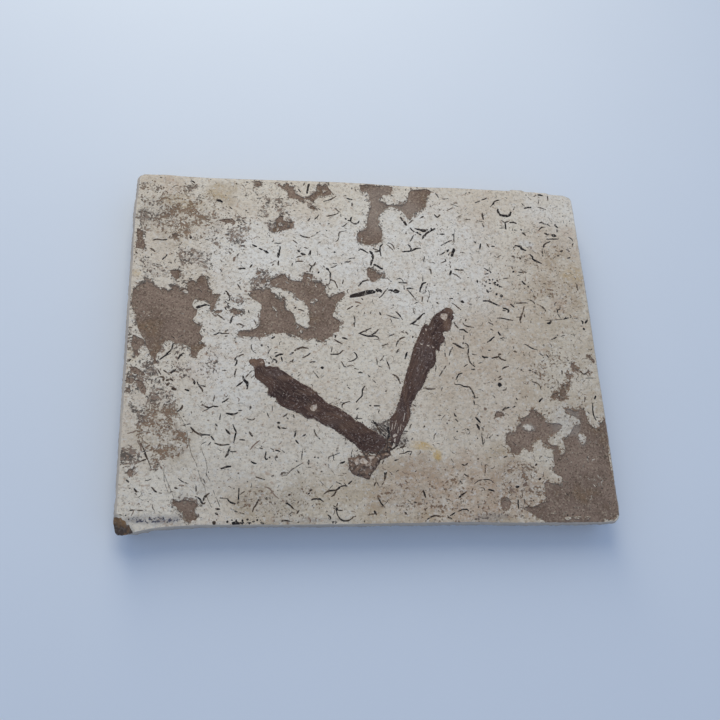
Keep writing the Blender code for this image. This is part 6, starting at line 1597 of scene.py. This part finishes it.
def fibre_relief(along, across, seed):
    """Lengthwise fibres, about 0 to 1: fine ridges that run with the wing and wander a little."""
    waves_along, waves_across, reach = FIBRE_WANDER
    values = []
    for s, t in zip(along, across):
        t += reach * noise.noise(Vector((s * waves_along, t * waves_across, seed)))
        value = 0.5
        for number, (fine, long, share) in enumerate(FIBRES, 1):
            value += share * noise.noise(Vector((t * fine, s * long, seed + FIBRE_SEED * number)))
        values.append(value)
    return np.clip(values, 0.0, FIBRE_MOST)


def closed_sheet(name, outline, spots, step, surface, materials):
    """A thin closed piece on an outline: a surface above, a flat foot below and an upright edge.

    surface gives the height above the slab's face for an array of plan points.
    """
    grid = jittered_grid(outline, step, random.Random(name))
    grid = clear_of(grid, np.vstack([outline, *spots]), FILM_GAP)
    grid = grid[inside(grid, offset(outline, -FILM_MARGIN))]
    plan, upper, rim = triangulate(outline, spots, grid)
    foot_plan, lower, foot_rim = triangulate(outline, [], np.zeros((0, 2)))
    top = np.column_stack((plan, TOP + surface(plan)))
    foot = np.column_stack((foot_plan, np.full(len(foot_plan), TOP - FILM_FOOT)))
    faces = np.vstack((upper, ring_faces(rim, foot_rim + len(plan)), lower[:, ::-1] + len(plan)))
    numbers = np.zeros(len(faces), int)
    for spot in spots:
        numbers[:len(upper)][inside(plan[upper].mean(axis=1), spot)] = 1
    return add_mesh(name, np.vstack((top, foot)), faces, numbers, materials)


def bare_spots(node):
    """The outlines of the spots in a film where the matrix shows, in the frame."""
    return [broken_edge(spot, SPOT_RUN, SPOT_ROUGHNESS) for spot in BARE_SPOTS[node]]


def add_border(piece, outline, width):
    """A value that falls from 1 at a film's edge to 0 at the width given."""
    add_values(piece, "border", 1.0 - smooth_step(edge_distance(plan_of(piece), outline) / width))


def make_wing(node, edges, seed, materials):
    """A wing: a thin fibrous film, a little cambered, with bare spots in it."""
    outline = film_outline(edges)
    spots = bare_spots(node)

    def surface(points):
        along, across = wing_places(points, edges)
        gap = edge_distance(points, outline)
        scale, share = WING_LUMPS
        rise = smooth_step(gap / RISE_RUN) * (WING_RISE + WING_CAMBER * np.sin(math.pi * across))
        ridges = fibre_relief(along, across, seed) * smooth_step(gap / RIDGE_RUN) * WING_RIDGE
        lumps = WING_LUMP * smooth_step(share + field(points, scale, seed)) * smooth_step(gap / LUMP_RUN)
        height = WING_FOOT + rise + ridges + lumps
        for spot in spots:
            near = inside(points, spot)
            floor = SPOT_LEVEL + SPOT_GRIT * field(points[near], *SPOT_NOISE)
            height[near] = np.minimum(height[near], floor)
        return height

    wing = closed_sheet(node + "_film", outline, spots, FILM_GRID, surface, materials)
    places = plan_of(wing)
    along, across = wing_places(places, edges)
    add_values(wing, "along", along)
    add_values(wing, "across", across)
    for name, parts in (("warm", WARM_SPOTS), ("dark", DARK_SPOTS), ("ash", ASH_SPOTS)):
        covers = [soft_oval(places - SHIFT, spot, SPOT_END, SPOT_FADE) for spot in parts[node]]
        add_values(wing, name, np.max(covers, axis=0))
    add_border(wing, outline, WING_BORDER)
    return wing


def make_body(materials):
    """The body: a lumpy crust in its pocket."""
    outline = body_outline()

    def surface(points):
        scale, seed, strength = BODY_LUMPS
        lumps = smooth_step(0.5 + strength * field(points, scale, seed))
        grit = 0.5 + 0.5 * field(points, *BODY_GRAINS)
        rise = smooth_step(edge_distance(points, outline) / BODY_RUN)
        return BODY_FOOT + rise * (BODY_RISE + BODY_LUMP * lumps + BODY_GRIT * grit)

    body = closed_sheet("body_crust", outline, bare_spots("body"), LUMP_GRID, surface, materials)
    add_border(body, outline, BODY_BORDER)
    return body


# ---------------------------------------------------------------- materials

class Paint:
    """A material laid on in layers of colour, with its node tree, its shader and the place on the piece.

    A share, a height or a colour is either a fixed value or the output of a node. Scales are in waves for
    each metre, and depths of relief in metres. The other numbers are ranges and shares of values from 0 to 1.
    """

    def __init__(self, name):
        self.material = bpy.data.materials.new(name)
        self.material.use_nodes = True
        self.tree = self.material.node_tree
        self.shader = self.tree.nodes["Principled BSDF"]
        self.place = self.node("TexCoord", "Object", {})
        self.colour = None

    def feed(self, socket, source):
        """Give a socket a node's output or a fixed value."""
        if isinstance(source, bpy.types.NodeSocket):
            self.tree.links.new(source, socket)
        elif socket.type == "RGBA":
            socket.default_value = (*source, 1.0)
        else:
            socket.default_value = source

    def node(self, kind, output, sources, **settings):
        """One output of a new node with the settings and sources given."""
        node = self.tree.nodes.new("ShaderNode" + kind)
        for name, setting in settings.items():
            setattr(node, name, setting)
        for socket, source in sources.items():
            self.feed(node.inputs[socket], source)
        return node.outputs[output]

    def value(self, name):
        """The number that the mesh carries under this name."""
        return self.node("Attribute", "Fac", {}, attribute_name=name)

    def clouds(self, scale, detail=3.0, roughness=0.5, distortion=0.0, shift=0.0, place=None):
        """Cloudy noise from 0 to 1; the shift sets it apart from other noise of its size."""
        place = self.place if place is None else place
        if shift:
            step = (shift, shift * SHIFT_ACROSS, shift * SHIFT_UP)
            place = self.node("VectorMath", "Vector", {0: place, 1: step}, operation="ADD")
        sources = {"Vector": place, "Scale": scale, "Detail": detail, "Roughness": roughness}
        return self.node("TexNoise", "Fac", {**sources, "Distortion": distortion})

    def maths(self, operation, first, second, clamp=False):
        """Arithmetic on two numbers."""
        return self.node("Math", "Value", {0: first, 1: second}, operation=operation, use_clamp=clamp)

    def plus(self, first, second):
        """Their sum."""
        return self.maths("ADD", first, second)

    def minus(self, first, second, clamp=False):
        """Their difference."""
        return self.maths("SUBTRACT", first, second, clamp)

    def times(self, first, second):
        """Their product."""
        return self.maths("MULTIPLY", first, second)

    def most(self, first, second):
        """The greater of the two."""
        return self.maths("MAXIMUM", first, second)

    def eased(self, value, low, high, out_low=0.0, out_high=1.0):
        """A value eased from one range to another."""
        sources = {"Value": value, "From Min": low, "From Max": high, "To Min": out_low, "To Max": out_high}
        return self.node("MapRange", "Result", sources, interpolation_type="SMOOTHSTEP")

    def mixed(self, share, first, second):
        """Two colours mixed by a share of the second."""
        return self.node("Mix", MIX_OUTPUT, dict(zip(MIX_INPUTS, (share, first, second))), data_type="RGBA")

    def lay(self, colour, share):
        """Lay a colour over what is there."""
        self.colour = self.mixed(share, self.colour, colour)

    def strew(self, colour, grains, more=None):
        """Lay a colour on in grains, thicker where more is greater; gives their noise."""
        specks = self.clouds(grains.scale, grains.detail, grains.roughness, shift=grains.shift)
        level = specks if more is None else self.plus(specks, more)
        self.lay(colour, self.eased(level, grains.start, grains.full, 0.0, grains.cover))
        return specks

    def finish(self, roughness, specular, height=None, distance=0.0, strength=BUMP_STRENGTH):
        """Use the colour on a dull surface, with fine relief that is too small for the mesh."""
        self.feed(self.shader.inputs["Base Color"], self.colour)
        self.shader.inputs["Roughness"].default_value = roughness
        self.shader.inputs["Specular IOR Level"].default_value = specular
        if height is not None:
            sources = {"Strength": strength, "Distance": distance, "Height": height}
            self.feed(self.shader.inputs["Normal"], self.node("Bump", "Normal", sources))
        return self.material


def lay_cream(paint):
    """The slab's pale skin: cream, with clouds, the zones' stains, and sandy and chalky grains."""
    broad = paint.clouds(60.0, 4.0, 0.6)
    paint.colour = paint.mixed(paint.eased(broad, 0.3, 0.7), CREAM, CREAM_DEEP)
    broken = paint.clouds(200.0, 6.0, 0.75, shift=0.3)
    for kind, tint in STAINS.items():
        paint.lay(tint, paint.times(paint.value(kind), paint.eased(broken, 0.35, 0.62, 0.3, 1.0)))
    paint.strew(CREAM_SHADE, SAND)
    paint.strew(PALE, CHALK)


def lay_haze(paint, spread):
    """Brown haze over the skin, with chalky grains in it."""
    broad = paint.plus(paint.clouds(200.0, 5.0, 0.65, shift=0.7), paint.times(spread, 0.42))
    paint.lay(HAZE, paint.times(paint.eased(broad, 0.74, 0.98), 0.4))
    chalk = paint.eased(paint.clouds(1300.0, 2.0, shift=1.1), 0.52, 0.6)
    paint.lay(CREAM, paint.times(chalk, paint.eased(spread, 0.2, 0.6, 0.0, 0.6)))


def lay_marks(paint, spread):
    """Brown winding marks and dots over the skin; gives where they are."""
    gate = paint.plus(paint.clouds(260.0, 4.0, 0.6, shift=0.2), paint.times(spread, 0.45))
    winding = paint.maths("ABSOLUTE", paint.minus(paint.clouds(700.0, 2.0, 0.5, 1.0), 0.5), 0.0)
    worms = paint.eased(paint.minus(winding, paint.times(spread, 0.042)), 0.012, 0.037, 1.0, 0.0)
    worms = paint.times(worms, paint.eased(gate, 0.76, 0.86))
    dots = paint.plus(paint.clouds(1250.0, 2.0), paint.times(gate, 0.5))
    dots = paint.times(paint.eased(dots, 0.95, 0.99), paint.eased(spread, 0.05, 0.3))
    marks = paint.most(worms, dots)
    tint = paint.mixed(paint.eased(paint.clouds(650.0), 0.46, 0.56), MOTTLE, MOTTLE_DARK)
    tint = paint.mixed(paint.eased(paint.value("tan"), 0.1, 0.5, 0.0, 0.9), tint, MOTTLE_RUST)
    paint.lay(tint, paint.times(marks, 0.85))
    return marks


def limestone_skin():
    """The cream face, mottled with brown marks in places, and most of all beside broken edges."""
    paint = Paint("limestone_skin")
    lay_cream(paint)
    spread = paint.most(paint.value("mottle"), paint.times(paint.value("brink"), 0.8))
    lay_haze(paint, spread)
    marks = lay_marks(paint, spread)
    soil = paint.value("soil")
    paint.lay(SOIL, paint.times(soil, 0.35))
    dirt = paint.strew(SOIL, DIRT, paint.times(soil, 0.4))
    paint.lay(SOOT, paint.eased(paint.plus(dirt, paint.times(paint.value("slate"), 0.5)), 0.90, 0.95))
    paint.strew(RUST, RUST_GRAINS)
    paint.strew(GRAIN, PITS)
    relief = paint.minus(paint.clouds(1100.0, 5.0, 0.7), paint.times(marks, 0.4))
    return paint.finish(0.85, 0.2, relief, 0.0005, 0.9)


def brown_bed():
    """The brown bed that shows where the skin is gone, sandy with pale and dark grains and crumbs of skin."""
    paint = Paint("brown_bed")
    broad = paint.clouds(110.0, 3.0, 0.6)
    paint.colour = paint.mixed(paint.eased(broad, 0.35, 0.65), BED_BROWN, BED_DARK)
    paint.lay(BED_RUST, paint.eased(broad, 0.55, 0.75, 0.0, 0.5))
    grains = paint.strew(BED_PALE, BED_GRAINS)
    paint.strew(BED_SPECK, BED_SPECKS)
    limit = paint.minus(0.72, paint.times(paint.value("brink"), 0.16))
    crumbs = paint.minus(paint.clouds(900.0, 2.0, shift=0.9), limit)
    crumbs = paint.eased(crumbs, 0.0, 0.05)
    paint.lay(CREAM_SHADE, paint.times(crumbs, 0.7))
    paint.lay(BED_ASH, paint.times(paint.value("pale"), 0.85))
    paint.lay(BED_DARK, paint.times(paint.value("soil"), 0.6))
    return paint.finish(0.9, 0.2, paint.plus(grains, crumbs), 0.0004, 0.9)


def fleck_film():
    """The carbon of the flecks over the skin, thin where its ink is low, with worn gaps."""
    paint = Paint("fleck_film")
    lay_cream(paint)
    ink = paint.value("ink")
    brown = paint.eased(paint.clouds(200.0, 3.0, 0.7), 0.42, 0.62)
    brown = paint.times(brown, paint.eased(ink, 1.0, 1.1, 1.0, 0.25))
    gaps = paint.eased(paint.clouds(1100.0, 3.0, 0.6), 0.5, 0.64, 0.0, 0.7)
    cover = paint.minus(paint.times(ink, 1.25), gaps, clamp=True)
    paint.lay(paint.mixed(brown, FILM_BLACK, FILM_BROWN), cover)
    return paint.finish(0.7, 0.12, paint.clouds(1500.0), 0.00008)


def chip_stone():
    """The fresh shell-shaped break at the corner, dark brown with a tan part."""
    paint = Paint("chip_stone")
    broad = paint.clouds(170.0, 3.0, 0.55, shift=0.1)
    paint.colour = paint.mixed(paint.eased(broad, 0.44, 0.58), CHIP_BROWN, CHIP_ORANGE)
    grains = paint.strew(CREAM_SHADE, CHIP_GRAINS)
    return paint.finish(0.7, 0.3, grains, 0.0002)


def broken_side():
    """The slab's broken sides: beds of lavender grey and cream with rusty seams."""
    paint = Paint("broken_side")
    height = paint.node("SeparateXYZ", "Z", {0: paint.place})
    level = paint.plus(height, paint.times(paint.clouds(40.0), 0.0035))
    sources = {"W": level, "Scale": 520.0, "Detail": 3.0}
    bed = paint.node("TexNoise", "Fac", sources, noise_dimensions="1D")
    paint.colour = paint.mixed(paint.eased(bed, 0.35, 0.65), SIDE_GREY, SIDE_CREAM)
    paint.lay(BED_RUST, paint.eased(bed, 0.66, 0.74, 0.0, 0.55))
    grains = paint.strew(CREAM_SHADE, SIDE_GRAINS)
    return paint.finish(0.88, 0.2, paint.plus(grains, bed), 0.0002)


def underside_stone():
    """The rough underside, a duller cream."""
    paint = Paint("underside_stone")
    broad = paint.clouds(70.0, 4.0, 0.6)
    paint.colour = paint.mixed(paint.eased(broad, 0.35, 0.65), SIDE_CREAM, CREAM_DEEP)
    grains = paint.strew(MOTTLE, UNDER_GRAINS)
    return paint.finish(0.9, 0.2, grains, 0.0003)


def pocket_shade_stone():
    """Dark stone in the pockets under the wings and the body; it shows only in the thin gap round them, as
    painted shade.
    """
    paint = Paint("pocket_shade_stone")
    grains = paint.clouds(700.0, 3.0, 0.6)
    paint.colour = paint.mixed(paint.eased(grains, 0.4, 0.65), BED_DARK, BED_BROWN)
    return paint.finish(0.9, 0.2)


def fibres(paint, across, along, detail):
    """Noise drawn out along a wing; across and along are in waves for its width and its length."""
    sources = {"X": paint.times(paint.value("across"), across), "Y": paint.times(paint.value("along"), along)}
    place = paint.node("CombineXYZ", "Vector", sources)
    return paint.clouds(1.0, detail, 0.65, 0.2, place=place)


def wing_film():
    """The wings' carbon film: near black, with lengthwise brown and pale fibres and worn spots."""
    paint = Paint("wing_film")
    streaks = fibres(paint, 14.0, 8.0, 4.0)
    threads = fibres(paint, 42.0, 16.0, 3.0)
    paint.colour = paint.mixed(paint.eased(streaks, 0.36, 0.62), WING_DUSK, WING_BROWN)
    patchy = paint.eased(paint.clouds(330.0, 3.0, 0.6), 0.35, 0.6, 0.4, 1.0)
    paint.lay(WING_TAN, paint.times(paint.value("warm"), patchy))
    paint.lay(WING_BLACK, paint.times(paint.value("dark"), 0.5))
    paint.lay(WING_ASH, paint.times(paint.value("ash"), paint.eased(threads, 0.42, 0.6, 0.2, 1.0)))
    paint.lay(WING_PALE, paint.eased(threads, 0.54, 0.66, 0.0, 0.42))
    paint.lay(WING_BLACK, paint.eased(paint.minus(1.0, threads), 0.53, 0.66, 0.0, 0.72))
    paint.strew(WING_GRAIN, WING_GRAINS)
    worn = paint.strew(WING_FLEA, WING_FLEAS)
    paint.strew(CREAM_SHADE, WING_FRAYS, paint.times(paint.value("border"), 0.3))
    return paint.finish(0.7, 0.15, paint.plus(threads, worn), 0.0002, 0.8)


def bare_spot():
    """Pale matrix that shows through a wing."""
    paint = Paint("bare_spot")
    grains = paint.clouds(1100.0, 3.0, 0.6)
    paint.colour = paint.mixed(paint.eased(grains, 0.42, 0.62), SPOT_CREAM, SPOT_BROWN)
    return paint.finish(0.8, 0.25, grains, 0.0001)


def body_crust():
    """The body's crust: brown and tan grains, darkest at its edge, with cream ones between."""
    paint = Paint("body_crust")
    broken = paint.eased(paint.clouds(500.0, 3.0, 0.6, shift=0.4), 0.42, 0.6)
    dark = paint.most(paint.times(paint.value("border"), broken), paint.value("ink"))
    level = paint.minus(paint.clouds(1000.0, 4.0, 0.65, 0.3), paint.times(dark, 0.09))
    paint.colour = paint.mixed(paint.eased(level, 0.38, 0.54), BODY_DARK, BODY_BROWN)
    paint.strew(SPOT_CREAM, BODY_CRUMBS, paint.times(dark, -0.06))
    return paint.finish(0.7, 0.3, paint.clouds(1300.0, 4.0), 0.0003)


def table_top():
    """The pale bluish table."""
    paint = Paint("table_top")
    paint.colour = paint.mixed(paint.clouds(30.0, 2.0), TABLE, TABLE_DEEP)
    return paint.finish(0.9, 0.1)


# ---------------------------------------------------------------- camera, light and floor

def aim_camera():
    """The camera, at the photo's place and angle."""
    camera = bpy.data.objects.new("camera", bpy.data.cameras.new("camera"))
    camera.data.lens = CAMERA_LENS
    camera.data.sensor_width = SENSOR_WIDTH
    camera.data.clip_start, camera.data.clip_end = CAMERA_REACH
    back = tuple(-value for value in CAMERA_FORWARD)
    turn = Matrix((CAMERA_RIGHT, CAMERA_UP, back)).transposed().to_4x4()
    camera.matrix_world = Matrix.Translation(Vector(CAMERA_PLACE) * MM) @ turn
    bpy.context.scene.collection.objects.link(camera)
    bpy.context.scene.camera = camera


def add_light():
    """The oblong soft light behind the slab, which looks at it."""
    data = bpy.data.lights.new("back_light", "AREA")
    data.shape = "RECTANGLE"
    data.size, data.size_y = BACK_LIGHT_SIZE
    data.energy = BACK_LIGHT_POWER
    data.color = BACK_LIGHT_TINT
    light = bpy.data.objects.new("back_light", data)
    light.location = BACK_LIGHT
    light.rotation_euler = (-Vector(BACK_LIGHT)).to_track_quat("-Z", "Y").to_euler()
    bpy.context.scene.collection.objects.link(light)


def add_floor():
    """The table under the slab."""
    bpy.ops.mesh.primitive_plane_add(size=FLOOR_SIZE)
    floor = bpy.context.object
    floor.name = "floor"
    floor.data.materials.append(table_top())


def add_surroundings():
    """The pale bluish light from all round, shown as it is."""
    world = bpy.data.worlds.new("surroundings")
    world.use_nodes = True
    background = world.node_tree.nodes["Background"]
    background.inputs["Color"].default_value = (*SKY, 1.0)
    background.inputs["Strength"].default_value = SKY_POWER
    bpy.context.scene.world = world
    bpy.context.scene.view_settings.view_transform = "Standard"


def stand_in(piece, node):
    """The piece takes the place of a solid and rides with it."""
    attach(piece, "root")
    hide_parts(node)


def build():
    """The whole scene."""
    aim_camera()
    skins = [limestone_skin(), brown_bed(), fleck_film(), chip_stone(), broken_side(), underside_stone()]
    films = [wing_film(), bare_spot()]
    crust = body_crust()
    stand_in(make_slab([*skins, pocket_shade_stone(), crust]), "limestone_slab")
    stand_in(make_wing("left_wing", LEFT_WING, LEFT_SEED, films), "left_wing")
    stand_in(make_wing("right_wing", RIGHT_WING, RIGHT_SEED, films), "right_wing")
    stand_in(make_body([crust, films[1]]), "body")
    add_floor()
    add_light()
    add_surroundings()


build()
